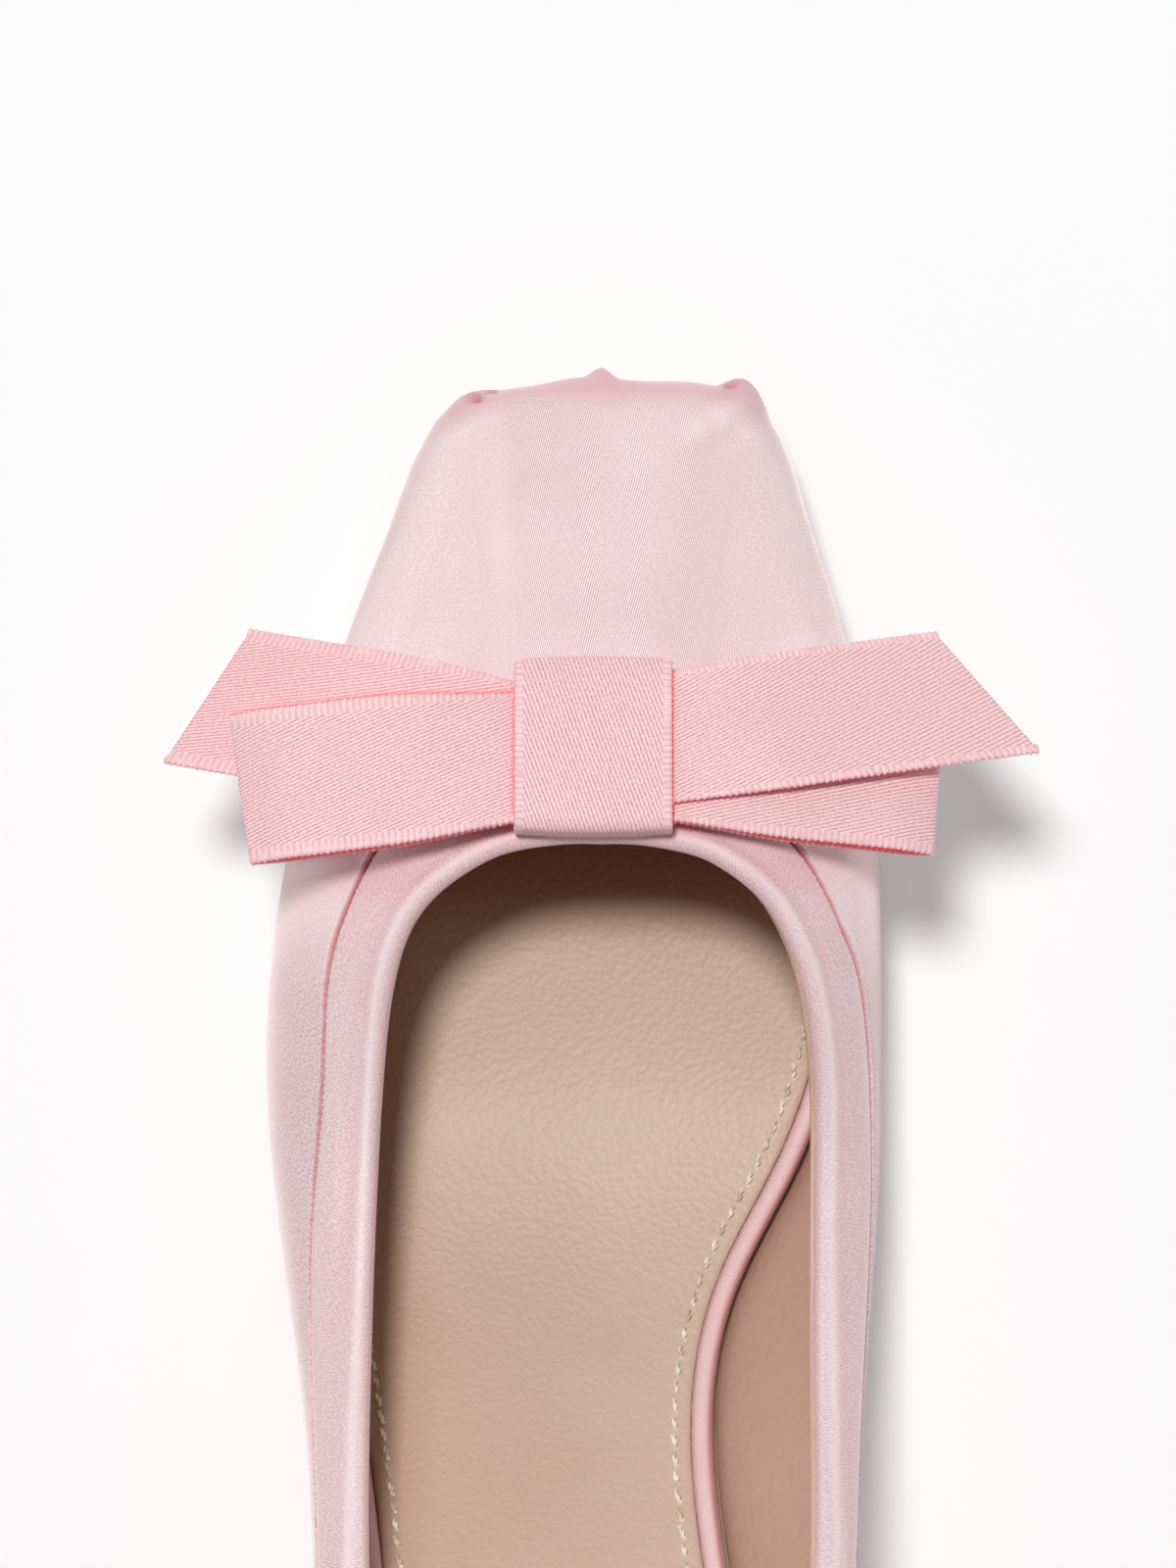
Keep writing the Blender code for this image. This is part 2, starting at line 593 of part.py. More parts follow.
def make_sling_strap(satin):
    outer = strap_on_wing(RIB_AT[0] + STRAP_INSETS[::-1])[::-1]
    inner = strap_on_wing(RIB_AT[-1] - STRAP_INSETS)[::-1]
    free = [(s.middle - s.half, s.y, s.z, s.lean) for s in SLING]
    free += [(s.middle + s.half, s.y, s.z, s.lean) for s in SLING[-2::-1]]
    middles = np.array([outer[-1, 1], *(row[:3] for row in free), inner[0, 1]])
    stations = [*outer]
    for before, (x, y, z, lean), after in zip(middles, free, middles[2:]):
        along = (after - before) / np.linalg.norm(after - before)
        level = np.array([along[1], -along[0], 0]) / np.hypot(along[0], along[1])
        tilt = math.radians(lean)
        up = np.cross(math.cos(tilt) * level + math.sin(tilt) * np.array([0, 0, 1]), along)
        half = STRAP_WIDTH / 2 * up / np.linalg.norm(up)
        stations.append(np.array([x, y, z]) + np.array([-half, 0 * half, half]))
    stations = np.array([*stations, *inner])
    knots = lengths_of(stations[:, 1])
    fine = spline(knots, stations.reshape(len(stations), 9), np.linspace(0, knots[-1], STRAP_STATIONS))
    strap = add_mesh("sling_strap", lambda bm: sheet(bm, fine.reshape(-1, 3, 3)), satin)
    thicken(strap, STRAP_THICKNESS)


# ---- bow ------------------------------------------------------------------------------------------------
BOW_X, BOW_Y = 0.65, 27.4  # middle of the knot
LAYER = RIBBON_THICKNESS + GAP + 0.1  # from one ribbon to the next inside the knot
TUCK = 3.0  # how far a ribbon reaches into the knot
PINCH, PINCH_REACH = 4.2, 5.0  # how much narrower a ribbon is inside the knot, and over what length
SAG, SAG_AT = 2.0, 40.0  # how far a ribbon hangs down at this distance from the knot
ROLL_REACH = 12.0  # a ribbon has its full lean this far out
KNOT_SIDES, KNOT_POWER, KNOT_SWELL = 32, 6, 0.4
KNOT_CLEAR = 0.5  # between the knot's wall and the ribbons inside it
KNOT_HALF_HEIGHT = LAYER + RIBBON_THICKNESS + KNOT_CLEAR  # to the middle of its wall, from the second layer

# A loop's or a tail's middle line. out is the distance from the knot's mouth and rise the height in layers
# over the bow's seat.
Fold = namedtuple("Fold", "out rise")
LEFT_LOOP = [
    Fold(-TUCK, 3), Fold(0, 3), Fold(9, 3.4), Fold(18, 3.5), Fold(27, 3.1), Fold(33.2, 2.4),
    Fold(35.2, 1.4), Fold(33.4, 0.4), Fold(27, 0.2), Fold(18, 0.7), Fold(9, 1.5), Fold(0, 2),
    Fold(-TUCK, 2),
]
RIGHT_LOOP = [
    Fold(-TUCK, 2), Fold(0, 2), Fold(9, 1.9), Fold(18, 1.6), Fold(26, 1.2), Fold(32, 0.4),
    Fold(33.8, -0.6), Fold(32, -1.6), Fold(26, -1.7), Fold(18, -1.1), Fold(9, 0.2), Fold(0, 1),
    Fold(-TUCK, 1),
]
LEFT_TAIL = [Fold(-TUCK, 1), Fold(0, 1), Fold(9, 0.2), Fold(22, -1.3), Fold(38.7, -2.2)]
RIGHT_TAIL = [Fold(-TUCK, 3), Fold(0, 3), Fold(9, 3.4), Fold(22, 3.4), Fold(39.3, 3.0)]

# side is -1 for a ribbon on the outer side of the knot. turn is its direction in degrees, towards the toe.
# start is how far towards the toe it leaves the knot, roll how far it leans towards the toe and slant how
# much longer its heel-side edge is than its middle.
Ribbon = namedtuple("Ribbon", "name side turn start roll slant folds stations")
RIBBONS = [
    Ribbon("bow_loop_left", -1, -7.3, -1.5, 0, 0, LEFT_LOOP, 24),
    Ribbon("bow_tail_left", -1, 10.7, 0.8, 0, 3.3, LEFT_TAIL, 9),
    Ribbon("bow_loop_right", 1, -5.1, -1.2, 0, 0, RIGHT_LOOP, 24),
    Ribbon("bow_tail_right", 1, 7.5, 1.4, 4, 4.8, RIGHT_TAIL, 9),
]


def bow_frame(lines):
    """The bow's seat on the vamp and two unit vectors: towards the toe along the vamp, and out of it."""
    centre = min(lines, key=lambda line: abs(line.points[-1][0] - BOW_X)).points[LOWER_POINTS:]
    ends = BOW_Y - KNOT_LENGTH / 2, BOW_Y, BOW_Y + KNOT_LENGTH / 2
    back, middle, front = np.interp(ends, centre[::-1, 1], centre[::-1, 2])
    slope = math.atan2(back - front, KNOT_LENGTH)
    ahead = np.array([0, math.cos(slope), -math.sin(slope)])
    out = np.array([0, math.sin(slope), math.cos(slope)])
    band_face = BAND_SEAT + GAP + BAND_THICKNESS + BAND_PADDING
    proud = band_face + GAP + RIBBON_THICKNESS / 2 + KNOT_HALF_HEIGHT - 2 * LAYER
    return np.array([BOW_X, BOW_Y, middle]) + proud * out, ahead, out


def make_ribbon(ribbon, frame, satin):
    seat, ahead, out = frame
    folds = np.array(ribbon.folds, float) * [1, LAYER]
    knots = lengths_of(folds)
    path = spline(knots, folds, np.linspace(0, knots[-1], ribbon.stations))
    turn, roll = math.radians(ribbon.turn), math.radians(ribbon.roll)
    grid = []
    for reach, rise in path:
        sag = SAG * max(0, reach / SAG_AT) ** 2
        squeeze = PINCH * (1 - min(1, max(0, reach + TUCK) / (PINCH_REACH + TUCK)) ** 2)
        column = []
        for across in (-0.5, 0.0, 0.5):
            aside = across * (RIBBON_WIDTH - squeeze)
            far = reach - 2 * across * ribbon.slant * max(0, reach) / ribbon.folds[-1].out
            x = ribbon.side * (KNOT_WIDTH / 2 + far * math.cos(turn) - aside * math.sin(turn))
            v = ribbon.start + far * math.sin(turn) + aside * math.cos(turn) * math.cos(roll)
            w = rise - sag - aside * math.sin(roll) * min(1, max(0, reach) / ROLL_REACH)
            column.append(seat + [x, 0, 0] + v * ahead + w * out)
        grid.append(column[::ribbon.side])
    obj = add_mesh(ribbon.name, lambda bm: sheet(bm, np.array(grid)), satin)
    thicken(obj, RIBBON_THICKNESS, offset=0.0)


def make_knot(frame, satin):
    seat, ahead, out = frame
    half_length = (KNOT_LENGTH - RIBBON_THICKNESS) / 2
    grid = []
    for angle in np.linspace(0, math.tau, KNOT_SIDES, endpoint=False):
        c, n = math.cos(angle), math.sin(angle)
        size = (abs(c) ** KNOT_POWER + abs(n) ** KNOT_POWER) ** (-1 / KNOT_POWER)
        column = []
        for x, swell in ((-KNOT_WIDTH / 2, 0), (0, KNOT_SWELL), (KNOT_WIDTH / 2, 0)):
            v = (half_length + swell) * size * c
            w = 2 * LAYER + KNOT_HALF_HEIGHT * size * n + swell * max(0, n) / 2
            column.append(seat + [x, 0, 0] + v * ahead + w * out)
        grid.append(column)
    obj = add_mesh("bow_knot", lambda bm: sheet(bm, np.array(grid), closed=True), satin)
    thicken(obj, RIBBON_THICKNESS, offset=0.0)


def main():
    clear_scene()
    collection = bpy.data.collections.new("slingback_heel")
    bpy.context.scene.collection.children.link(collection)
    satin = make_material("satin", (0.82, 0.62, 0.63), 0.35)
    ribbon_satin = make_material("ribbon_satin", (0.87, 0.52, 0.53), 0.4)
    sock_leather = make_material("sock_leather", (0.60, 0.43, 0.34), 0.5)
    sole_leather = make_material("sole_leather", (0.62, 0.45, 0.36), 0.45)
    rubber = make_material("tip_rubber", (0.55, 0.38, 0.31), 0.6)

    lines = ribs_at(column_places(TOE_COLUMN_STEP, SIDE_COLUMN_STEP, TOE_COLUMNS_REACH))
    make_upper(lines, satin)
    make_topline_band(lines, satin)
    make_outsole(sole_leather)
    make_insole_board(satin)
    make_sock(sock_leather)
    make_piping(satin)
    make_heel(satin)
    make_heel_tip(rubber)
    make_sling_strap(satin)
    frame = bow_frame(lines)
    for ribbon in RIBBONS:
        make_ribbon(ribbon, frame, ribbon_satin)
    make_knot(frame, ribbon_satin)


main()
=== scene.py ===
# %% [markdown]
# # A satin slingback heel
#
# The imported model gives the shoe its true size: sole, heel, hollow upper, bow and strap. This notebook
# dresses it. Each step first says what the piece is on a real shoe and how it could be made, then makes it.
# Sizes are in millimetres and become metres only when a vertex is written.

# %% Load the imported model
import math
from collections import namedtuple

import bmesh
import bpy
import numpy as np
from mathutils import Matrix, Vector, kdtree


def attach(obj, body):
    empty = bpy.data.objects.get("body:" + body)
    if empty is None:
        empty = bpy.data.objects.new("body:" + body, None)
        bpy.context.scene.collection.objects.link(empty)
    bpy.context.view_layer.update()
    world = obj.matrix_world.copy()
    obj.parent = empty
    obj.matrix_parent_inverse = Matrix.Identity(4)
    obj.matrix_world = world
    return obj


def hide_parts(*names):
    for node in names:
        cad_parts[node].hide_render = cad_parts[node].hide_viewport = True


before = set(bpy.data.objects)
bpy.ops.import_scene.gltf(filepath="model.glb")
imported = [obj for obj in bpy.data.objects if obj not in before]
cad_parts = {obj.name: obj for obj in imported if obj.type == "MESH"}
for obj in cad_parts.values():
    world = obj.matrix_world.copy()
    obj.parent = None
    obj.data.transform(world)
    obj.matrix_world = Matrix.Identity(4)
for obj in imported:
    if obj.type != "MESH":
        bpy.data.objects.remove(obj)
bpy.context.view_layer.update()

MM = 0.001
print(sorted(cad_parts))

# %% [markdown]
# ## The last
#
# A shoe is built round a last, a solid model of the foot. Its bottom edge is the feather line. The upper is
# described by ribs, like the ribs of a boat: each one leaves the feather line, bulges out to its widest
# point, turns over the shoulder and ends at the topline. The table below has one row for each rib, from the
# end of the outer side round the toe to the end of the inner side. The solids were made from such a table
# too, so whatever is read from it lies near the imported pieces, to within about 3 mm: a few rows at the inner
# waist and round the throat have been made finer here. A cubic spline joins the rows.

# %% The table of ribs
Rib = namedtuple("Rib", "foot_x foot_y wide_x wide_y wide_rise top_x top_y top_rise run shoulder band cut")
RIBS = [
    Rib(-28.1, -124, -28.9, -119, 15.5, -25.6, -111.0, 29.0, 8, 9, 6.5, 0.62),
    Rib(-27.3, -105, -30.4, -102, 16.0, -26.7, -96.0, 26.8, 8, 9, 6.5, 0.36),
    Rib(-28.1, -84, -31.6, -82, 16.5, -27.2, -79.0, 25.8, 8, 9, 6.8, 0.0),
    Rib(-31.8, -56, -33.6, -56, 16.0, -27.5, -56.0, 26.5, 9, 11, 7.0, 0.0),
    Rib(-36.0, -31, -37.4, -31, 15.0, -27.1, -31.0, 28.5, 11, 13, 7.0, 0.0),
    Rib(-37.6, -10, -39.1, -11, 14.0, -25.9, -12.0, 31.5, 12, 15, 6.9, 0.0),
    Rib(-36.4, 11, -37.3, 10, 13.5, -24.2, -0.5, 34.5, 12, 15, 8.9, 0.0),
    Rib(-32.5, 30, -32.8, 30, 12.5, -21.8, 6.4, 36.2, 11, 13, 10.2, 0.0),
    Rib(-27.1, 47, -27.2, 47, 11.5, -17.8, 11.2, 37.2, 9, 11, 10.8, 0.0),
    Rib(-21.4, 61, -21.5, 61.4, 11.0, -12.6, 14.6, 37.8, 8, 9, 10.2, 0.0),
    Rib(-17.3, 69, -17.5, 69.2, 10.5, -8.6, 16.0, 38.0, 7, 8, 9.2, 0.0),
    Rib(-12.6, 71.9, -12.7, 72.3, 10.5, -4.8, 16.6, 38.2, 7, 8, 8.0, 0.0),
    Rib(2.3, 72.7, 2.3, 73.2, 10.5, 1.8, 16.8, 38.4, 7, 8, 8.0, 0.0),
    Rib(16.6, 72.3, 16.7, 72.7, 10.5, 8.6, 16.4, 38.2, 7, 8, 8.0, 0.0),
    Rib(21.0, 69.6, 21.2, 70.0, 10.5, 12.4, 15.6, 38.0, 7, 8, 8.0, 0.0),
    Rib(24.4, 61.5, 24.7, 62, 11.0, 16.2, 14.0, 37.8, 8, 9, 8.0, 0.0),
    Rib(29.3, 47, 29.6, 47, 11.5, 20.9, 10.4, 37.2, 9, 11, 8.0, 0.0),
    Rib(32.9, 30, 33.4, 30, 13.0, 24.4, 5.2, 36.2, 10, 13, 8.2, 0.0),
    Rib(34.5, 12, 35.2, 11, 14.5, 26.8, -1.5, 34.8, 9, 14, 8.4, 0.0),
    Rib(33.6, -6, 35.4, -9, 16.0, 28.3, -12.0, 32.5, 8, 13, 8.5, 0.0),
    Rib(26.7, -27, 34.9, -28, 18.0, 28.5, -28.0, 30.0, 7, 10, 8.3, 0.0),
    Rib(19.1, -42, 33.7, -42, 18.5, 28.4, -41.0, 28.5, 7, 9, 7.8, 0.0),
    Rib(16.3, -57, 32.4, -57, 18.5, 28.25, -56.0, 27.5, 7, 9, 7.2, 0.0),
    Rib(19.0, -84, 30.9, -82, 17.5, 27.8, -79.0, 26.4, 7, 9, 6.6, 0.0),
    Rib(20.3, -105, 29.4, -102, 16.5, 26.5, -96.0, 26.8, 7, 9, 6.4, 0.36),
    Rib(21.6, -124, 27.8, -119, 15.5, 25.0, -111.0, 29.0, 8, 9, 6.5, 0.62),
]
TOE_RIB = 12  # the row at the middle of the toe
SEAT = [(20.9, -141), (13.4, -154.4), (-3.3, -159.0), (-20.0, -154.4), (-27.5, -141)]  # round the heel seat

# %% The bed, and splines through the table
HEEL_HEIGHT, SEAT_SLOPE = 50.0, 0.15
SEAT_BACK_Y, BREAST_Y = -159.0, -112.0
TREAD_FRONT_Y, TREAD_BACK_Y = 28.0, -12.0
TOE_Y, TOE_SPRING = 76.0, 5.0
SOLE_THICKNESS, BOARD_THICKNESS = 2.5, 3.0
GAP = 0.3


def bed_z(y):
    """Height of the last's bottom: toe spring, flat tread, arched shank and sloping seat."""
    y = np.asarray(y, float)
    tread = SOLE_THICKNESS + GAP
    seat_front = HEEL_HEIGHT - SEAT_SLOPE * (BREAST_Y - SEAT_BACK_Y)
    shank = TREAD_BACK_Y - BREAST_Y
    u = np.clip((TREAD_BACK_Y - y) / shank, 0, 1)
    arch = tread + (seat_front - tread) * u * u * (3 - 2 * u) + SEAT_SLOPE * shank * (u**3 - u * u)
    toe = tread + TOE_SPRING * (np.maximum(y - TREAD_FRONT_Y, 0) / (TOE_Y - TREAD_FRONT_Y)) ** 2
    seat = seat_front + SEAT_SLOPE * (BREAST_Y - y)
    return np.where(y > TREAD_BACK_Y, toe, np.where(y > BREAST_Y, arch, seat))


def spline(knots, values, at):
    """A natural cubic spline through the rows of values, read at each parameter of at."""
    knots, values, at = (np.asarray(a, float) for a in (knots, values, at))
    steps = np.diff(knots)
    slopes = np.diff(values, axis=0) / steps[:, None]
    system, right = np.eye(len(knots)), np.zeros_like(values)
    for i in range(1, len(knots) - 1):
        system[i, i - 1 : i + 2] = steps[i - 1], 2 * (steps[i - 1] + steps[i]), steps[i]
        right[i] = 6 * (slopes[i] - slopes[i - 1])
    bend = np.linalg.solve(system, right)
    i = np.clip(np.searchsorted(knots, at) - 1, 0, len(knots) - 2)
    h = steps[i][:, None]
    a, b = (knots[i + 1] - at)[:, None] / h, (at - knots[i])[:, None] / h
    bent = ((a**3 - a) * bend[i] + (b**3 - b) * bend[i + 1]) * h * h / 6
    return a * values[i] + b * values[i + 1] + bent


def unit(vectors):
    return vectors / np.linalg.norm(vectors, axis=-1, keepdims=True)


def lengths_of(points):
    return np.concatenate([[0], np.cumsum(np.linalg.norm(np.diff(points, axis=0), axis=1))])


FEET = np.array([(r.foot_x, r.foot_y) for r in RIBS] + SEAT)
FOOT_AT = lengths_of(FEET)
AROUND = FOOT_AT[-1] + np.linalg.norm(FEET[0] - FEET[-1])
RIB_AT = FOOT_AT[: len(RIBS)]
TOE_AT = RIB_AT[TOE_RIB]
WRAP = 4  # rows repeated past each end, which close the outline smoothly
print("feather line:", round(AROUND), "mm round")

# %% The feather line, as a closed outline
def foot_line(at):
    knots = np.concatenate([FOOT_AT[-WRAP:] - AROUND, FOOT_AT, FOOT_AT[:WRAP] + AROUND])
    rows = np.concatenate([FEET[-WRAP:], FEET, FEET[:WRAP]])
    return spline(knots, rows, np.mod(at, AROUND))


def outward(at, reach=0.5):
    """Unit vectors in plan that point out of the outline."""
    along = unit(foot_line(np.asarray(at) + reach) - foot_line(np.asarray(at) - reach))
    return np.stack([-along[:, 1], along[:, 0]], axis=1)


def outline(places, margin):
    return foot_line(places) + outward(places) * np.reshape(margin, (-1, 1))


def side_place(y, inner):
    """The place on the outline at this y, on the inner or the outer side."""
    places = TOE_AT + np.linspace(0, AROUND / 2 if inner else -AROUND / 2, 961)
    return places[np.argmin(np.abs(foot_line(places)[:, 1] - y))]


# %% [markdown]
# ## Ribs as lines, and folds in the toe
#
# The satin is one flat piece that is pulled over the toe and gathered underneath, as on a ballet slipper. At
# each front corner the spare cloth folds over into an ear with a small open pocket, and a pleat runs down the
# middle of the front. These folds are too soft to be separate pieces: they are pushed out of the rib lines
# themselves, so the cloth stays in one piece. A fold rises gently on one side and drops sharply on the other.

# %% One rib as a dense line of points
LOWER_POINTS, UPPER_POINTS = 21, 120
WALL = 2.1
# Over the square front the shoulder is a flat facet and then a quick bend: shares of its run and its climb.
Step = namedtuple("Step", "run climb")
FACET = [Step(0, 0), Step(0.03, 0.25), Step(0.1, 0.5), Step(0.2, 0.72), Step(0.3, 0.86), Step(0.37, 0.92),
         Step(0.45, 0.947), Step(0.65, 0.975), Step(1, 1)]
FACET_CURVE = np.linspace(0, 1, 201)
FACET_CLIMB = np.interp(FACET_CURVE, *np.array(FACET).T)
for _ in range(14):
    FACET_CLIMB[1:-1] = (FACET_CLIMB[:-2] + 2 * FACET_CLIMB[1:-1] + FACET_CLIMB[2:]) / 4


def smooth(low, high, x):
    t = np.clip((x - low) / (high - low), 0, 1)
    return t * t * (3 - 2 * t)


def bezier(a, b, c, d, t):
    t = t[:, None]
    return (1 - t) ** 3 * a + 3 * (1 - t) ** 2 * t * b + 3 * (1 - t) * t * t * c + t**3 * d


def side_normals(points):
    along = unit(np.gradient(points, axis=0))
    return np.stack([-along[:, 1], along[:, 0]], axis=1)


def rib_lines(places):
    """(points, length at the widest point, band width, cut share) for each place."""
    values = spline(RIB_AT, [tuple(r) for r in RIBS], places)
    feet, away = foot_line(places), outward(places)
    leave, arrive = side_normals(values[:, 2:4]), side_normals(values[:, 5:7])
    low_steps = np.linspace(0, 1, LOWER_POINTS)
    high_steps = np.linspace(0, 1, UPPER_POINTS + 1)[1:] ** 1.7
    lines = []
    for i, row in enumerate(values):
        r = Rib(*row)
        foot = np.array([*feet[i], float(bed_z(feet[i][1] + WALL * min(0, away[i][1]))) + 0.1])
        wide = np.array([r.wide_x, r.wide_y, float(bed_z(r.wide_y)) + r.wide_rise])
        top = np.array([r.top_x, r.top_y, float(bed_z(r.top_y)) + r.top_rise])
        upright = np.array([0, 0, 0.4 * (wide[2] - foot[2])])
        lower = bezier(foot, foot + upright, wide - upright, wide, low_steps)
        reach = min(0.3 * abs((wide[:2] - top[:2]) @ arrive[i]), 11.0)
        ends = wide[:2] - leave[i] * reach, top[:2] + arrive[i] * reach
        plan = bezier(wide[:2], *ends, top[:2], high_steps)
        run = np.cumsum(np.linalg.norm(np.diff(plan, axis=0, prepend=wide[None, :2]), axis=1))
        share = np.clip(run / r.run, 0, 1)
        facet = smooth(31, 19, abs(places[i] - TOE_AT))
        round_climb, flat_climb = np.sqrt(1 - (1 - share) ** 3), np.interp(share, FACET_CURVE, FACET_CLIMB)
        climb = r.shoulder * (round_climb + (flat_climb - round_climb) * facet)
        height = wide[2] + climb + (top[2] - wide[2] - climb[-1]) * run / run[-1]
        points = np.concatenate([lower, np.column_stack([plan, height])])
        lines.append((points, lengths_of(points)[LOWER_POINTS - 1], r.band, max(0.0, r.cut)))
    return lines


# %% The folds of the toe
# place is along the toe from its middle. The cloth rises over rise and drops over drop towards the middle;
# facing is the side that drops: 1 towards the inner side, -1 towards the outer, 0 on both alike. The fold has
# sunk into the vamp between sink and gone, which are lengths past the widest point.
Fold = namedtuple("Fold", "place facing rise drop depth sink gone")
FOLDS = [
    Fold(-16.5, 1, 7.0, 4.4, 0.9, 3.0, 5.0),
    Fold(-11.5, 0, 8.5, 8.5, -0.5, 2.0, 8.0),
    Fold(-1.5, 0, 8.5, 8.5, 0.9, 2.0, 8.0),
    Fold(-0.5, 0, 2.7, 2.7, 1.25, 1.5, 6.5),
    Fold(15.9, -1, 5.2, 2.9, 2.2, 3.0, 5.0),
]
# A pocket: its middle, its half width and half height, how deep it goes and how it slants.
Pocket = namedtuple("Pocket", "place past half_width half_height depth slant")
POCKETS = [Pocket(-14.7, 2.75, 1.6, 0.6, 1.6, -0.7), Pocket(14.7, 2.5, 0.8, 0.5, 1.4, -0.7)]


def fold_shape(fold, place):
    d = place - fold.place
    if fold.facing == 0:
        return np.where(abs(d) < fold.rise, np.cos(math.pi / 2 * d / fold.rise) ** 2, 0)
    d = d * fold.facing
    return np.where(d < 0, smooth(-fold.rise, 0, d), 1 - smooth(0, fold.drop, d))


def toe_relief(place, past):
    """How far folds push the cloth out, how far pockets sink it and how deep in a pocket it lies, 0 to 1."""
    shape = np.broadcast(place, past).shape
    push, hole = np.zeros(shape), np.zeros(shape)
    for fold in FOLDS:
        height = (0.35 + 0.65 * smooth(-11, 1, past)) * (1 - smooth(fold.sink, fold.gone, past))
        push += fold.depth * height * fold_shape(fold, place)
    for p in POCKETS:
        aside, along = place - p.place, past - p.past - p.slant * (place - p.place)
        taper = 1 - 0.5 * np.clip(aside / p.half_width, -1, 1)
        d = np.abs(aside / p.half_width) ** 2.5 + np.abs(along / (p.half_height * taper)) ** 2.5
        hole += p.depth * np.exp(-d)
    return push, hole, np.clip(hole / 1.2, 0, 1)


# %% [markdown]
# ## Meshes from grids
#
# Most pieces of a shoe are skins: a grid of points with an outer face, an inner face and a rim. One helper
# makes them all. It keeps a flat map of the cloth as the piece's UV map, in metres, because a weave has to
# follow the cloth and not the room.

# %% Mesh helpers
COLLECTION = bpy.context.scene.collection


def new_piece(name, points, faces, material, uv=None, attributes=None, sharp=None):
    """A mesh object from points in millimetres. uv gives each vertex its place in the flat cloth."""
    mesh = bpy.data.meshes.new(name)
    mesh.from_pydata((np.asarray(points) * MM).tolist(), [], [tuple(int(i) for i in f) for f in faces])
    if uv is not None:
        corner = np.empty(len(mesh.loops), np.int32)
        mesh.loops.foreach_get("vertex_index", corner)
        layer = mesh.uv_layers.new(name="cloth")
        layer.data.foreach_set("uv", (np.asarray(uv)[corner] * MM).astype(np.float32).ravel())
    for key, values in (attributes or {}).items():
        mesh.attributes.new(key, "FLOAT", "POINT").data.foreach_set("value", np.asarray(values, np.float32))
    mesh.materials.append(material)
    mesh.shade_smooth()
    if sharp:
        mesh.set_sharp_from_angle(angle=math.radians(sharp))
    obj = bpy.data.objects.new(name, mesh)
    COLLECTION.objects.link(obj)
    return obj


def strip_faces(a, b):
    """Quads between two equally long rows of vertex numbers."""
    return np.stack([a[:-1], a[1:], b[1:], b[:-1]], axis=1)


def grid_faces(index):
    """Quads over a grid of vertex numbers, columns first, facing right of the way up its rows."""
    a, b = index[:-1, :], index[1:, :]
    return np.stack([a[:, :-1], a[:, 1:], b[:, 1:], b[:, :-1]], axis=-1).reshape(-1, 4)


def tube_faces(count, sides, flip=False):
    """Quads round count rings of this many points, and a cap at each end."""
    index = np.arange(count * sides).reshape(count, sides)
    order = -1 if flip else 1
    faces = grid_faces(np.concatenate([index, index[:, :1]], axis=1))[:, ::order].tolist()
    return faces + [tuple(index[0][::order]), tuple(index[-1][::-order])]


def paired(first, second, shape):
    """Two values for every point of a grid."""
    return np.stack([np.broadcast_to(first, shape), np.broadcast_to(second, shape)], axis=2)


def skin(name, outer, inner, material, uv, attributes=None):
    """A closed shell between two grids of points, columns first."""
    columns, rows = outer.shape[:2]
    first = np.arange(columns * rows).reshape(columns, rows)
    second = first + columns * rows
    rim = [(first[:, 0], second[:, 0]), (second[:, -1], first[:, -1])]
    rim += [(second[0], first[0]), (first[-1], second[-1])]
    faces = [grid_faces(first), grid_faces(second)[:, ::-1]] + [strip_faces(a, b)[:, ::-1] for a, b in rim]
    points = np.concatenate([outer.reshape(-1, 3), inner.reshape(-1, 3)])
    both = {key: np.tile(np.ravel(values), 2) for key, values in (attributes or {}).items()}
    return new_piece(name, points, np.concatenate(faces), material, np.tile(uv.reshape(-1, 2), (2, 1)), both)


def ride(obj, slot, *nodes):
    """The shoe is one body, so every piece rides on its root."""
    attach(obj, "root")
    if nodes:
        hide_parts(*nodes)
    triangles = sum(len(p.vertices) - 2 for p in obj.data.polygons)
    print(f"{obj.name}: {triangles} triangles")
    return obj


# %% [markdown]
# ## Writing shaders as sums
#
# A weave is arithmetic: stripes, steps and noise added together. Wiring a Math node for every plus sign is
# slow to write and hard to read, so a small class wraps a socket and lets Python's own operators make the
# nodes. One method, `node`, makes every other kind of node.

# %% A socket that can be added and multiplied
class Wire:
    def __init__(self, paint, socket):
        self.paint, self.socket = paint, socket

    def math(self, operation, *others, reverse=False):
        values = [self, *others]
        if reverse:
            values.reverse()
        return self.paint.node("ShaderNodeMath", {"operation": operation}, dict(enumerate(values)))

    def __add__(self, other):
        return self.math("ADD", other)

    def __sub__(self, other):
        return self.math("SUBTRACT", other)

    def __rsub__(self, other):
        return self.math("SUBTRACT", other, reverse=True)

    def __mul__(self, other):
        return self.math("MULTIPLY", other)

    def __truediv__(self, other):
        return self.math("DIVIDE", other)

    __radd__, __rmul__ = __add__, __mul__

    def sine(self):
        return self.math("SINE")

    def floor(self):
        return self.math("FLOOR")

    def fraction(self):
        return self.math("FRACT")

    def size(self):
        return self.math("ABSOLUTE")

    def ramp(self, low, high, to_low=0.0, to_high=1.0):
        """A soft step between two values."""
        sockets = {"Value": self, "From Min": low, "From Max": high, "To Min": to_low, "To Max": to_high}
        return self.paint.node("ShaderNodeMapRange", {"interpolation_type": "SMOOTHSTEP"}, sockets)


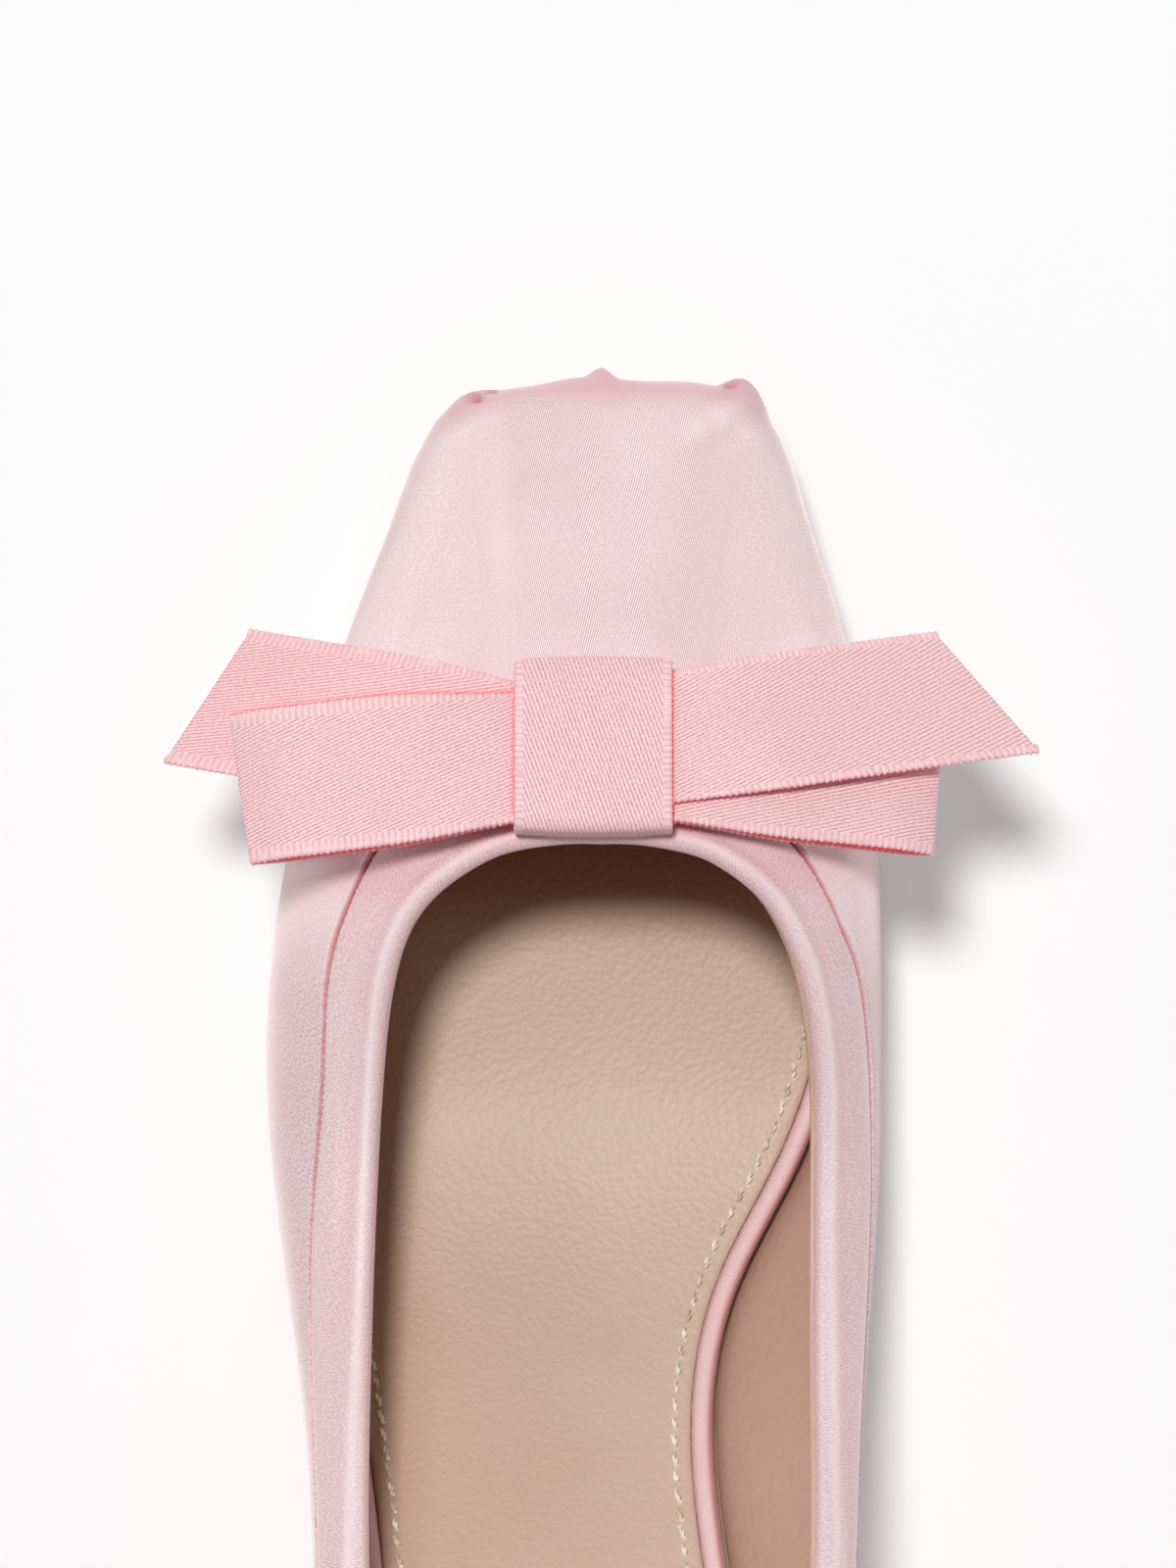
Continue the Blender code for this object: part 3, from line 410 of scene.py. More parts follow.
class Paint:
    """One node material. Constant values are set on its Principled shader itself."""

    def __init__(self, name, **constants):
        self.material = bpy.data.materials.new(name)
        self.material.use_nodes = True
        self.tree = self.material.node_tree
        self.shader = self.tree.nodes["Principled BSDF"]
        for key, value in constants.items():
            self.shader.inputs[key.replace("_", " ").title().replace("Ior", "IOR")].default_value = value

    def node(self, kind, settings=None, sockets=None, output=0):
        node = self.tree.nodes.new(kind)
        for key, value in (settings or {}).items():
            setattr(node, key, value)
        for key, value in (sockets or {}).items():
            if isinstance(value, Wire):
                self.tree.links.new(value.socket, node.inputs[key])
            else:
                node.inputs[key].default_value = value
        return Wire(self, node.outputs[output])

    def mix(self, share, first, second):
        node = self.tree.nodes.new("ShaderNodeMix")
        node.data_type = "RGBA"
        inputs = [s for s in node.inputs if s.type == "RGBA"]
        for socket, value in ((node.inputs[0], share), *zip(inputs, (first, second))):
            if isinstance(value, Wire):
                self.tree.links.new(value.socket, socket)
            else:
                socket.default_value = value
        return Wire(self, next(s for s in node.outputs if s.type == "RGBA"))

    def map(self, name="cloth"):
        """The two coordinates of the piece's flat cloth, in millimetres."""
        node = self.tree.nodes.new("ShaderNodeUVMap")
        node.uv_map = name
        both = self.node("ShaderNodeSeparateXYZ", None, {0: Wire(self, node.outputs[0])})
        second = Wire(self, both.socket.node.outputs[1])
        return both * (1 / MM), second * (1 / MM)

    def join(self, x, y, z=0.0):
        """A vector from three values."""
        return self.node("ShaderNodeCombineXYZ", None, {"X": x, "Y": y, "Z": z})

    def place(self):
        """Object coordinates, in metres."""
        return self.node("ShaderNodeTexCoord", output="Object")

    def attribute(self, name):
        return self.node("ShaderNodeAttribute", {"attribute_name": name}, output="Fac")

    def noise(self, scale, detail=2.0, rough=0.5, vector=None):
        """Noise with features about 1 / scale across, in metres."""
        sockets = {"Vector": vector or self.place(), "Scale": scale, "Detail": detail, "Roughness": rough}
        return self.node("ShaderNodeTexNoise", None, sockets, "Fac")

    def feed(self, **wires):
        for key, wire in wires.items():
            self.tree.links.new(wire.socket, self.shader.inputs[key.replace("_", " ").title()])

    def bump(self, *layers):
        """Layers of (height from 0 to 1, depth in millimetres), one bump on the next."""
        normal = None
        for height, depth in layers:
            sockets = {"Height": height, "Distance": depth * MM, "Strength": 1.0}
            if normal is not None:
                sockets["Normal"] = normal
            normal = self.node("ShaderNodeBump", None, sockets)
        self.feed(normal=normal)


def colour(red, green, blue):
    """A linear colour from the 0 to 255 values that a screen shows."""
    channels = [c / 255 for c in (red, green, blue)]
    return tuple(((c + 0.055) / 1.055) ** 2.4 if c > 0.04045 else c / 12.92 for c in channels) + (1.0,)


# %% [markdown]
# ## Satin
#
# Satin is woven so that most threads float over several others before they dip under one. The floats lie in
# diagonal rows, and they all shine the same way. Up close the rows read as fine slanting lines, broken where
# each float ends; from further off they merge into a soft, wide highlight. The shader draws both: rows of
# floats as bump and colour, and a wide gloss with a little sheen. The cloth's map is the pattern laid flat,
# and the rows slant one way on the outer half and the other way on the inner half.

# %% Rows of floats
def floats(paint, u, v, degrees, pitch, length, seed=0.0, speck=0.4, narrow=0.0):
    """0 to 1 over a field of woven floats: rows at this angle, with specks of about this length.

    speck is the share of the specks, and narrow makes the bright part of each row narrower."""
    c, s = math.cos(math.radians(degrees)), math.sin(math.radians(degrees))
    row = (v * c - u * s) / pitch
    along = (u * c + v * s) / length
    ridge = (row.fraction() * math.pi).sine().ramp(narrow, 1.0)
    specks = paint.noise(1.0, 1.0, 0.5, paint.join(along, row * 1.7, seed)).ramp(0.28, 0.72)
    return ridge * (1 - speck) + specks * speck


def make_satin(name, deep, pale, outer=118, inner=75, turn=(-17, -9), wave=0.1, speck=0.25, seam=0.0):
    """Satin whose rows of floats run at one angle at low u and at another at high u.

    Where the cloth lies loose, an attribute breaks the rows up into specks. The same attribute greys the
    colour
    a little: a painted reflection of the pale floor on the walls and towards the back.

    seam is how strongly it darkens a row of needle holes a stitch apart, just past the cloth's edge."""
    paint = Paint(name, sheen_weight=0.75, sheen_roughness=0.35, sheen_tint=SATIN_SHEEN, ior=SATIN_IOR)
    u, v = paint.map()
    wander = paint.noise(45, 1)
    slack = paint.attribute("slack")
    speck = slack * (0.75 - speck) + speck
    weave = floats(paint, u + wander * 1.5, v + wander, outer, SATIN_PITCH, FLOAT_LENGTH, 0.0, speck)
    if inner != outer:
        side = u.ramp(*turn)
        other = floats(paint, u + wander * 1.5, v + wander, inner, SATIN_PITCH, FLOAT_LENGTH, 7.0, speck)
        weave = weave + (other - weave) * side
    weave = weave + (0.55 - weave) * paint.attribute("plain")
    cloud = paint.noise(60, 3)
    shade = paint.mix(weave.ramp(0.05, 0.95) + (cloud - 0.5) * 0.3, deep, pale)
    # Painted reflection: loose cloth on the walls and at the back is greyed a little.
    shade = paint.mix(slack * 0.3, shade, REFLECTION_GREY)
    # Painted highlight: paler where the pale attribute is set.
    shade = paint.mix(paint.attribute("pale"), shade, HIGHLIGHT_PINK)
    # Painted shade, and the heel's seam lines: deep pink where this attribute is set.
    tuck = paint.attribute("tuck")
    if seam:
        hole = (u / STITCH_PITCH + (cloud - 0.5) * 1.5).fraction() - 0.5
        needle = hole.size().ramp(0.12, 0.4, seam, 0.0) * (v - 1.25).size().ramp(0.06, 0.3, 1.0, 0.0)
        shade = paint.mix(needle, shade, NEEDLE)
    shade = paint.mix(tuck, shade, SHADE_AND_SEAM_PINK)
    paint.feed(base_color=shade, roughness=SATIN_ROUGHNESS + (1 - weave) * 0.08 + (cloud - 0.5) * 0.08)
    paint.bump((cloud, wave), (weave, 0.04))
    return paint.material


STITCH_PITCH = 0.95
SATIN_PITCH, FLOAT_LENGTH = 0.28, 0.4  # from one row of floats to the next, and along a row
SATIN_IOR, SATIN_ROUGHNESS, SATIN_SHEEN = 1.6, 0.47, colour(255, 236, 236)
# Deep pink for painted shade and for the heel's seam lines, and the colour of needle holes.
SHADE_AND_SEAM_PINK, NEEDLE = colour(206, 98, 106), colour(176, 84, 88)
# A painted highlight, and the grey of a painted reflection on the walls.
HIGHLIGHT_PINK, REFLECTION_GREY = colour(250, 233, 234), colour(198, 172, 174)
DEEP_SATIN, PALE_SATIN = colour(200, 150, 158), colour(246, 228, 229)
BAND_DEEP, BAND_PALE = colour(207, 165, 171), colour(240, 217, 219)
SATIN = make_satin("satin", DEEP_SATIN, PALE_SATIN)
print("satin:", len(SATIN.node_tree.nodes), "nodes")

# %% [markdown]
# ## The upper
#
# The wall of the shoe is satin outside, backing in the middle and a beige lining inside. Seen as geometry it
# is a skin 2 mm thick. The outer satin panel ends in a turned edge, where it is stitched to the band round
# the topline. The two cloths sink into that seam together, so the panel's edge rolls inwards and its last
# two rows run on under the band.

# %% Columns and rows of the upper
TOE_REACH = 27.0


def column_places(toe_step, side_step):
    low, high = TOE_AT - TOE_REACH, TOE_AT + TOE_REACH
    left = np.linspace(RIB_AT[0], low, 1 + round((low - RIB_AT[0]) / side_step))
    right = np.linspace(high, RIB_AT[-1], 1 + round((RIB_AT[-1] - high) / side_step))
    return np.concatenate([left[:-1], np.linspace(low, high, 1 + round(2 * TOE_REACH / toe_step)), right[1:]])


PLACES = column_places(0.36, 0.9)
LINES = rib_lines(PLACES)
TOTAL = np.array([lengths_of(points)[-1] for points, *_ in LINES])
WIDE = np.array([wide for _, wide, *_ in LINES])
BAND = np.array([band for *_, band, _ in LINES])
EDGE = np.array([cut for *_, cut in LINES]) * TOTAL
print(len(PLACES), "columns; the longest rib is", round(TOTAL.max()), "mm")


def read_lines(lengths, lines=None):
    """Points on every rib at lengths, one row of lengths for each. Past its end a rib goes straight on."""
    grid = []
    for (points, *_), at in zip(LINES if lines is None else lines, lengths):
        along = lengths_of(points)
        column = np.stack([np.interp(at, along, points[:, k]) for k in range(3)], axis=1)
        tip = points[-1] - points[-6]
        column += np.maximum(at - along[-1], 0)[:, None] * tip / np.linalg.norm(tip)
        grid.append(column)
    return np.array(grid)


def normals_of(grid):
    """Unit normals of a grid, facing away from the foot."""
    return unit(np.cross(np.gradient(grid, axis=1), np.gradient(grid, axis=0)))


def blurred(values, passes):
    """Each row of values averaged with its neighbours, along the first axis."""
    for _ in range(passes):
        padded = np.concatenate([values[:1], values, values[-1:]])
        values = (padded[:-2] + 2 * padded[1:-1] + padded[2:]) / 4
    return values


TOPS = read_lines(TOTAL[:, None])[:, 0]
SPREAD = unit(blurred(read_lines(WIDE[:, None])[:, 0, :2] - TOPS[:, :2], 30))
SEAM_Y = read_lines((TOTAL - BAND)[:, None])[:, 0, 1]
ON_INNER = PLACES > TOE_AT
# The seam gapes near the bow, 1, and has closed to a fine line further back, 0.
GAPE = smooth(np.where(ON_INNER, -34, -14), np.where(ON_INNER, -8, 10), SEAM_Y)


def flat_cloth(from_top):
    """Where points this far down from the topline lie in the flat cloth, which is cut as seen in plan."""
    return TOPS[:, None, :2] + from_top[:, :, None] * SPREAD[:, None]


# %% Soft creases in the vamp
# A crease runs in plan from one point to another. It is a ridge of this height and width, or a trough if the
# height is below 0, and it fades out at both ends.
Crease = namedtuple("Crease", "x1 y1 x2 y2 width height")
CREASES = [
    Crease(20.0, 71.2, 9.8, 66.6, 0.9, 0.6),
    Crease(19.5, 69.2, 13.0, 64.6, 1.4, -0.25),
    Crease(-18.5, 71.5, -13.0, 67.5, 1.3, -0.20),
    Crease(-20.5, 67.0, -24.0, 55.0, 1.6, 0.22),
    Crease(-17.5, 68.0, -21.0, 52.0, 2.2, -0.16),
    Crease(22.5, 67.0, 27.0, 50.0, 2.0, 0.20),
    Crease(-6.0, 70.0, -9.0, 58.0, 3.0, -0.12),
    Crease(6.0, 71.0, 8.0, 60.0, 3.0, 0.10),
    Crease(26.0, 44.0, 28.0, 26.0, 3.5, 0.18),
    Crease(-26.0, 42.0, -29.0, 22.0, 3.0, -0.15),
]


def crease_relief(x, y):
    relief = np.zeros_like(x)
    for c in CREASES:
        run = np.array([c.x2 - c.x1, c.y2 - c.y1])
        length = np.linalg.norm(run)
        run = run / length
        along = ((x - c.x1) * run[0] + (y - c.y1) * run[1]) / length
        aside = (x - c.x1) * -run[1] + (y - c.y1) * run[0]
        fade = smooth(0, 0.25, along) * (1 - smooth(0.55, 1, along))
        relief += c.height * np.exp(-((aside / c.width) ** 2)) * fade
    return relief


# %% Light from the bow
# Each half of the bow's lower edge is nearly straight in plan: a point on it and its slope.
BowEdge = namedtuple("BowEdge", "x y slope")
OUTER_EDGE, INNER_EDGE = BowEdge(-9.8, 18.9, 0.153), BowEdge(11.0, 19.3, -0.095)


def bow_glow(points):
    """Satin beside the bow's lower edge is tinted deep pink: painted bounce light where they touch, and a
    softer painted shadow further out.

    Further down the walls there is none."""
    x, y, z = (points[..., k] for k in range(3))
    outer, inner = (edge.y + edge.slope * (x - edge.x) for edge in (OUTER_EDGE, INNER_EDGE))
    below = np.where(x < 0, outer, inner) - y
    under = smooth(-3, 0, below) * smooth(46, 42, np.abs(x)) * smooth(-15, -7, z - TOPS[:, 2].min())
    aside = smooth(16, 26, np.abs(x))
    soft = 0.22 * (1 - smooth(2.5, 8.5, below)) * aside + 0.2 * (1 - smooth(0.5, 3.5, below)) * (1 - aside)
    return under * (soft + 0.5 * np.exp(-((below / 0.7) ** 2)))


# %% The satin wall and the lining
SHOULDER_REACH = 11.0  # rows are close together this far past the widest point
LINING = 0.6


def wall_rows(low, middle, high):
    """Lengths along each rib, from its lower edge to the seam."""
    seam = TOTAL - BAND
    start = np.maximum(WIDE, EDGE + 0.35 * (seam - EDGE))
    reach = np.minimum(SHOULDER_REACH, 0.6 * (seam - start))
    return np.stack(
        [
            np.concatenate(
                [
                    np.linspace(EDGE[i], start[i], low)[:-1],
                    np.linspace(start[i], start[i] + reach[i], middle)[:-1],
                    seam[i] - (seam[i] - start[i] - reach[i]) * np.linspace(1, 0, high) ** 1.9,
                ]
            )
            for i in range(len(LINES))
        ]
    )


def make_upper():
    rows = wall_rows(14, 26, 27)
    seam = (TOTAL - BAND)[:, None]
    rows = np.concatenate([rows, seam + 0.01, seam + 0.45], axis=1)  # the seam allowance, under the band
    base = read_lines(rows)
    normal = normals_of(base)
    past = rows - WIDE[:, None]
    push, hole, tuck = toe_relief((PLACES - TOE_AT)[:, None], past)
    off_toe = np.abs(PLACES - TOE_AT)[:, None]
    # Painted shade: the toe's front facet is deeper pink, where the satin turns away from the light.
    facet_shade = 0.36 * smooth(-7, 0, past) * (1 - smooth(6.8, 8.6, past)) * smooth(24, 15, off_toe)
    to_seam = np.maximum(seam - rows, 0)
    gape = GAPE[:, None]
    lip = 0.18 + 0.4 * gape  # the folded edge rises this far from the seam
    roll = (0.28 + 0.6 * gape) * np.clip(1 - to_seam / lip, 0, 1) ** 1.4
    ridge = (0.05 + 0.22 * gape) * np.exp(-(((to_seam - lip) / (0.5 * lip)) ** 2))
    uneven = blurred(np.random.default_rng(4).normal(size=(len(PLACES), 1)), 1)
    pucker = 0.06 * uneven * np.exp(-((to_seam / 1.3) ** 2))
    relief = crease_relief(base[:, :, 0], base[:, :, 1])
    height = WALL + relief + ridge - roll + pucker - hole
    height[:, -2:] = LINING + 0.1
    away = np.concatenate([outward(PLACES), np.zeros((len(PLACES), 1))], axis=1)
    outer = base + normal * height[:, :, None] + push[:, :, None] * away[:, None]
    inner = base + normal * LINING + np.minimum(push, 0.6)[:, :, None] * away[:, None] * 0.5
    hem = np.clip(1 - (rows - EDGE[:, None]) / 0.8, 0, 1) * (EDGE > 0.5)[:, None]
    outer -= normal * (0.9 * hem**2)[:, :, None]
    uv = flat_cloth(TOTAL[:, None] - rows)
    # Painted shade in the seam's trough, and a painted highlight on the folded lip beside it.
    near_seam = np.exp(-((to_seam / (0.1 + 0.22 * gape)) ** 2)) * (0.3 + 0.6 * gape)
    lit_edge = 0.45 * gape * np.exp(-(((to_seam - lip) / 0.22) ** 2))
    steep = smooth(36, 28, off_toe) * (1 - smooth(5.0, 9.0, past))
    aslant, y = np.abs(normal[:, :, 0]), base[:, :, 1]
    # Painted highlight: the sloping sides of the vamp are paler, and so are the raised tops of the creases.
    pale = 0.55 * smooth(0.12, 0.5, aslant) * smooth(-5, 10, y) * smooth(4, 9, past)
    attributes = {
        "tuck": np.clip(tuck * 0.9 + near_seam + facet_shade + bow_glow(outer), 0, 1),
        "plain": steep * 0.9,
        # Loose cloth on the walls and at the back: specks, and a painted grey reflection.
        "slack": np.maximum(smooth(0.2, 0.5, aslant), smooth(20, 6, y)),
        "pale": np.clip(pale + lit_edge + np.clip(relief, 0, 0.6), 0, 0.7),
    }
    ride(skin("upper_satin", outer, inner, SATIN, uv, attributes), "satin", "upper")


make_upper()

# %% [markdown]
# The lining is thin, soft leather, glued to the backing. It covers the whole inside of the wall, and along
# the topline it comes up just past the band, so a fine beige rim shows there. On the inner side, where the
# wall leans over the foot, that rim is widest.

# %% The lining
RIM_LATERAL, RIM_MEDIAL = 0.45, 0.8


def leather(name, deep, pale, grain, depth, roughness, wave=0.1, shade_tint=None, rim_tint=None, **constants):
    """Smooth leather: a fine pebbled grain, soft clouds of colour and a few larger waves."""
    paint = Paint(name, **constants)
    sockets = {"Vector": paint.place(), "Scale": grain}
    cells = paint.node("ShaderNodeTexVoronoi", {"feature": "SMOOTH_F1"}, sockets)
    pebble = cells.ramp(0.05, 0.75)
    cloud = paint.noise(22, 3)
    fine = paint.noise(grain * 2.2, 3)
    shade = paint.mix(cloud.ramp(0.3, 0.7) * 0.7 + fine * 0.3, deep, pale)
    # Painted shade: a darker, warmer brown where the inside attribute is set.
    if shade_tint:
        shade = paint.mix(paint.attribute("inside"), shade, shade_tint)
    # The lining's cut edge: orange-brown painted shade where rim is set, and plain pale beige where pale is
    # set.
    if rim_tint:
        shade = paint.mix(paint.attribute("rim"), shade, rim_tint)
        shade = paint.mix(paint.attribute("pale"), shade, colour(204, 172, 148))
    paint.feed(base_color=shade, roughness=roughness + (fine - 0.5) * 0.12)
    paint.bump((paint.noise(45, 2), wave), (pebble, depth), (fine, depth * 0.5))
    return paint.material


# shade_tint is the colour of painted shade inside the vamp, rim_tint that of the painted shade on the lining's
# edge.
LINING_LEATHER = leather("lining_leather", colour(186, 148, 128), colour(201, 165, 146), 900, 0.05, 0.5,
                         shade_tint=colour(198, 138, 106), rim_tint=colour(196, 122, 82))
MEDIAL = smooth(0, 26, lengths_of(TOPS) - lengths_of(TOPS)[np.argmin(np.abs(PLACES - TOE_AT))] - 14)
RIM = (0.22 + (RIM_LATERAL - 0.22) * smooth(0, -25, TOPS[:, 1])) * (1 - MEDIAL) + RIM_MEDIAL * MEDIAL


def make_lining():
    share = np.concatenate([np.linspace(0, 0.93, 40), np.linspace(0.93, 1, 12)[1:]])
    rows = EDGE[:, None] + (TOTAL + RIM - EDGE)[:, None] * share
    base = read_lines(rows)
    normal = normals_of(base)
    to_edge = (TOTAL + RIM)[:, None] - rows
    thick = LINING * np.sqrt(np.clip(1 - (1 - np.clip(to_edge / LINING, 0, 1)) ** 2, 0.01, 1))
    middle = base + normal * (LINING / 2)
    uv = flat_cloth(TOTAL[:, None] - rows)
    # Painted shade inside the vamp, stronger towards the toe, and on the rim along the outer side and the
    # throat.
    inside = smooth(-25, 12, base[:, :, 1]) * smooth(1.0, 3.0, to_edge)
    rim = (1 - MEDIAL)[:, None] * (1 - smooth(0.9, 1.8, to_edge))
    beige = MEDIAL[:, None] * (1 - smooth(0.5, 1.3, to_edge))
    half = normal * thick[:, :, None] / 2
    lining = skin("lining", middle + half, middle - half, LINING_LEATHER, uv,
                  {"inside": inside, "rim": rim, "pale": beige})
    ride(lining, "sock_leather")


make_lining()

# %% [markdown]
# ## The topline band
#
# A strip of satin is sewn to the panel face to face, folded over a strip of foam and turned over the topline.
# So it has the profile of a soft cushion: flat by the seam, a shallow groove where the foam ends, then a
# fat roll at the topline. The profile below is given once, from the seam and from the topline, and a smooth
# curve through it is swept round the opening.

# %% The band's profile and its sweep
# Each row: where the distance is taken from (0 the seam, 1 the topline), the distance and the height.
Profile = namedtuple("Profile", "end distance height")
PROFILE = [
    Profile(0, 0.03, 0.75), Profile(0, 0.04, 1.45), Profile(0, 0.25, 1.88), Profile(0, 0.95, 2.25),
    Profile(0, 2.1, 2.42), Profile(1, -3.9, 2.3), Profile(1, -3.1, 2.12), Profile(1, -2.4, 2.22),
    Profile(1, -1.7, 2.55), Profile(1, -0.9, 2.66), Profile(1, -0.15, 2.45), Profile(1, 0.38, 1.95),
    Profile(1, 0.55, 1.4), Profile(1, 0.45, 0.9), Profile(1, 0.0, 0.72), Profile(1, -2.5, 0.7),
]
BAND_ROWS = 44

satin_places = lengths_of(TOPS)
TOE_COLUMN = int(np.argmin(np.abs(PLACES - TOE_AT)))
BAND_SATIN = make_satin("band_satin", BAND_DEEP, BAND_PALE, turn=(-20, 20), outer=-62, inner=62, wave=0.16,
                        speck=0.6, seam=0.75)


def make_band():
    grid, uv, tuck, pale = [], [], [], []
    for total, width, along, gape in zip(TOTAL, BAND, satin_places, GAPE):
        ends = total - width, total
        knots = np.array([(ends[p.end] + p.distance, p.height) for p in PROFILE])
        at = lengths_of(knots)
        section = spline(at, knots, np.linspace(0, at[-1], BAND_ROWS))
        grid.append(section)
        flat = lengths_of(section)
        uv.append(np.column_stack([np.full(BAND_ROWS, along - satin_places[TOE_COLUMN]), flat]))
        inset = section[:, 0] - total
        # Painted shade: deep pink by the seam and in the grooves of the profile.
        groove = 0.08 * np.exp(-(((inset + 3.3) / 1.1) ** 2)) + 0.16 * np.exp(-(((inset - 0.35) / 0.4) ** 2))
        tuck.append(np.exp(-((flat / (0.5 + 0.25 * gape)) ** 2)) * (0.35 + 0.5 * gape) + groove)
        # Painted highlight on the roll at the topline.
        pale.append(0.55 * np.exp(-(((inset + 1.15) / 0.5) ** 2)) * (section[:, 1] > 1.5))
    section = np.array(grid)
    base = read_lines(section[:, :, 0])
    surface = read_lines(np.sort(section[:, :, 0], axis=1) + np.arange(BAND_ROWS) * 1e-4)
    normal = normals_of(surface)
    order = np.argsort(np.argsort(section[:, :, 0], axis=1), axis=1)
    normal = np.take_along_axis(normal, order[:, :, None], axis=1)
    points = base + normal * section[:, :, 1:]
    attributes = {"tuck": (np.array(tuck) + bow_glow(points)).ravel(), "pale": np.ravel(pale)}
    faces = tube_faces(len(points), BAND_ROWS)
    band = new_piece("topline_band_satin", points.reshape(-1, 3), faces, BAND_SATIN, np.reshape(uv, (-1, 2)),
                     attributes)
    ride(band, "satin", "topline_band")


make_band()

# %% [markdown]
# ## Flat pieces on the bed
#
# Sole, board and sock are cut flat and pressed to the curved bottom of the last. Each one is made from rings:
# the outline, then the same outline drawn in towards the middle line of the foot. A short profile rounds its
# edge, and each point takes its height from the bed.

# %% Rings from the outline to the middle line
TOE_FAN, HEEL_FAN = 52.0, -140.0  # the middle line ends here


def ring_columns(step_toe=0.8, step=2.2, tail=None):
    """Places round the outline and, for each, the point of the middle line that it is drawn towards."""
    front = [side_place(TOE_FAN, False), side_place(TOE_FAN, True)]
    back_y = HEEL_FAN if tail is None else tail
    back = [side_place(back_y, False), side_place(back_y, True)]
    count = round((front[0] - back[0]) / step)
    outer, inner = np.linspace(back[0], front[0], count), np.linspace(back[1], front[1], count)
    middle = (foot_line(outer) + foot_line(inner)) / 2
    toe = np.linspace(front[0], front[1], round((front[1] - front[0]) / step_toe))[1:-1]
    places = np.concatenate([outer, toe, inner[::-1]])
    targets = np.concatenate([middle, np.repeat(middle[-1:], len(toe), axis=0), middle[::-1]])
    if tail is None:
        heel = np.linspace(back[1], back[0] + AROUND, round((back[0] + AROUND - back[1]) / step))[1:-1]
        places = np.concatenate([places, heel])
        targets = np.concatenate([targets, np.repeat(middle[:1], len(heel), axis=0)])
    return places, targets


def make_plate(name, margin, profile, material, slot, node, tail=None, crown=0.0, attributes=None):
    """profile: rows of (inset, height over the bed) round the edge, from underneath to the top."""
    places, targets = ring_columns(tail=tail)
    edge = outline(places, margin(places))
    if tail is not None:
        cut = np.linspace(edge[-1], edge[0], 24)[1:-1]
        edge = np.concatenate([edge, cut])
        targets = np.concatenate([targets, np.repeat(targets[:1], len(cut), axis=0)])
        places = np.concatenate([places, np.full(len(cut), places[0])])
    inward = targets - edge
    reach = np.linalg.norm(inward, axis=1)
    inward /= reach[:, None]
    shares = np.linspace(0, 1, 13)
    insets = [np.maximum(reach - (reach - profile[0][0]) * s, 0) for s in shares[:-1]]
    heights = [np.full(len(edge), profile[0][1])] * len(insets)
    for inset, height in profile:
        insets.append(np.full(len(edge), inset))
        heights.append(np.full(len(edge), height))
    for s in shares[1:]:
        insets.append(profile[-1][0] + (reach - profile[-1][0]) * s)
        heights.append(np.full(len(edge), profile[-1][1]) + crown * math.sin(s * math.pi / 2))
    insets, heights = np.array(insets).T, np.array(heights).T
    plan = edge[:, None] + inward[:, None] * insets[:, :, None]
    points = np.concatenate([plan, (bed_z(plan[:, :, 1]) + heights)[:, :, None]], axis=2)
    index = np.arange(insets.size).reshape(insets.shape)
    closed = np.concatenate([index, index[:1]])
    faces = grid_faces(closed)[:, ::-1]
    flat = paired(lengths_of(edge)[:, None], heights - insets, insets.shape)
    obj = new_piece(name, points.reshape(-1, 3), faces, material, flat.reshape(-1, 2),
                    {key: f(plan.reshape(-1, 2)) for key, f in (attributes or {}).items()})
    bm = bmesh.new()
    bm.from_mesh(obj.data)
    bmesh.ops.remove_doubles(bm, verts=bm.verts, dist=0.02 * MM)
    bmesh.ops.recalc_face_normals(bm, faces=bm.faces)
    bm.to_mesh(obj.data)
    bm.free()
    return ride(obj, slot, node)


def piping_share(places):
    """1 where the piping runs beside the sock and 0 at the forefoot."""
    ys = foot_line(places)[:, 1]
    inner = np.mod(places, AROUND) > TOE_AT
    return np.clip((np.where(inner, -8.0, -36.0) + 14.0 - ys) / 14.0, 0, 1)


PIPING_DIAMETER = 2.6
SOCK_INSET = 0.9


def sock_margin(places):
    return -SOCK_INSET - (PIPING_DIAMETER - 0.42) * smooth(0, 1, piping_share(places))


def sock_shade(plan):
    """Painted shade on the sock: darker where the vamp covers it, and a little along the outer wall."""
    under_vamp = smooth(1, 15, plan[:, 1])
    return np.clip(under_vamp + 0.45 * smooth(-18, -27, plan[:, 0]) * smooth(-100, -60, plan[:, 1]), 0, 1)


# shade_tint is the colour of the painted shade under the vamp.
SOCK_LEATHER = leather("sock_grain", colour(199, 169, 149), colour(213, 186, 166), 1300, 0.05, 0.5,
                       shade_tint=colour(166, 112, 84))
SOLE_LEATHER = leather("sole_leather", colour(186, 147, 124), colour(206, 171, 148), 600, 0.04, 0.48)
SATIN_EDGE = make_satin("edge_satin", DEEP_SATIN, PALE_SATIN, 62, 62)

make_plate("sock_leather_top", sock_margin,
           [(0.9, 3.32), (0.35, 3.34), (0.08, 3.5), (0.0, 3.8),
            (0.1, 4.15), (0.42, 4.42), (1.0, 4.5), (2.0, 4.52)],
           SOCK_LEATHER, "sock_leather", "sock", crown=0.12, attributes={"inside": sock_shade})
make_plate("board_cover", lambda p: np.full(len(p), -GAP),
           [(0.9, 0.0), (0.35, 0.06), (0.08, 0.35), (0.0, 0.9),
            (0.0, 2.1), (0.08, 2.6), (0.35, 2.92), (0.9, 3.0)],
           SATIN_EDGE, "satin", "insole_board")
make_plate("outsole_leather", lambda p: np.full(len(p), 1.2),
           [(1.2, -2.8), (0.4, -2.76), (0.1, -2.5), (0.0, -2.1),
            (0.0, -0.9), (0.08, -0.55), (0.3, -0.34), (0.9, -0.3)],
           SOLE_LEATHER, "sole_leather", "outsole", tail=BREAST_Y + GAP)

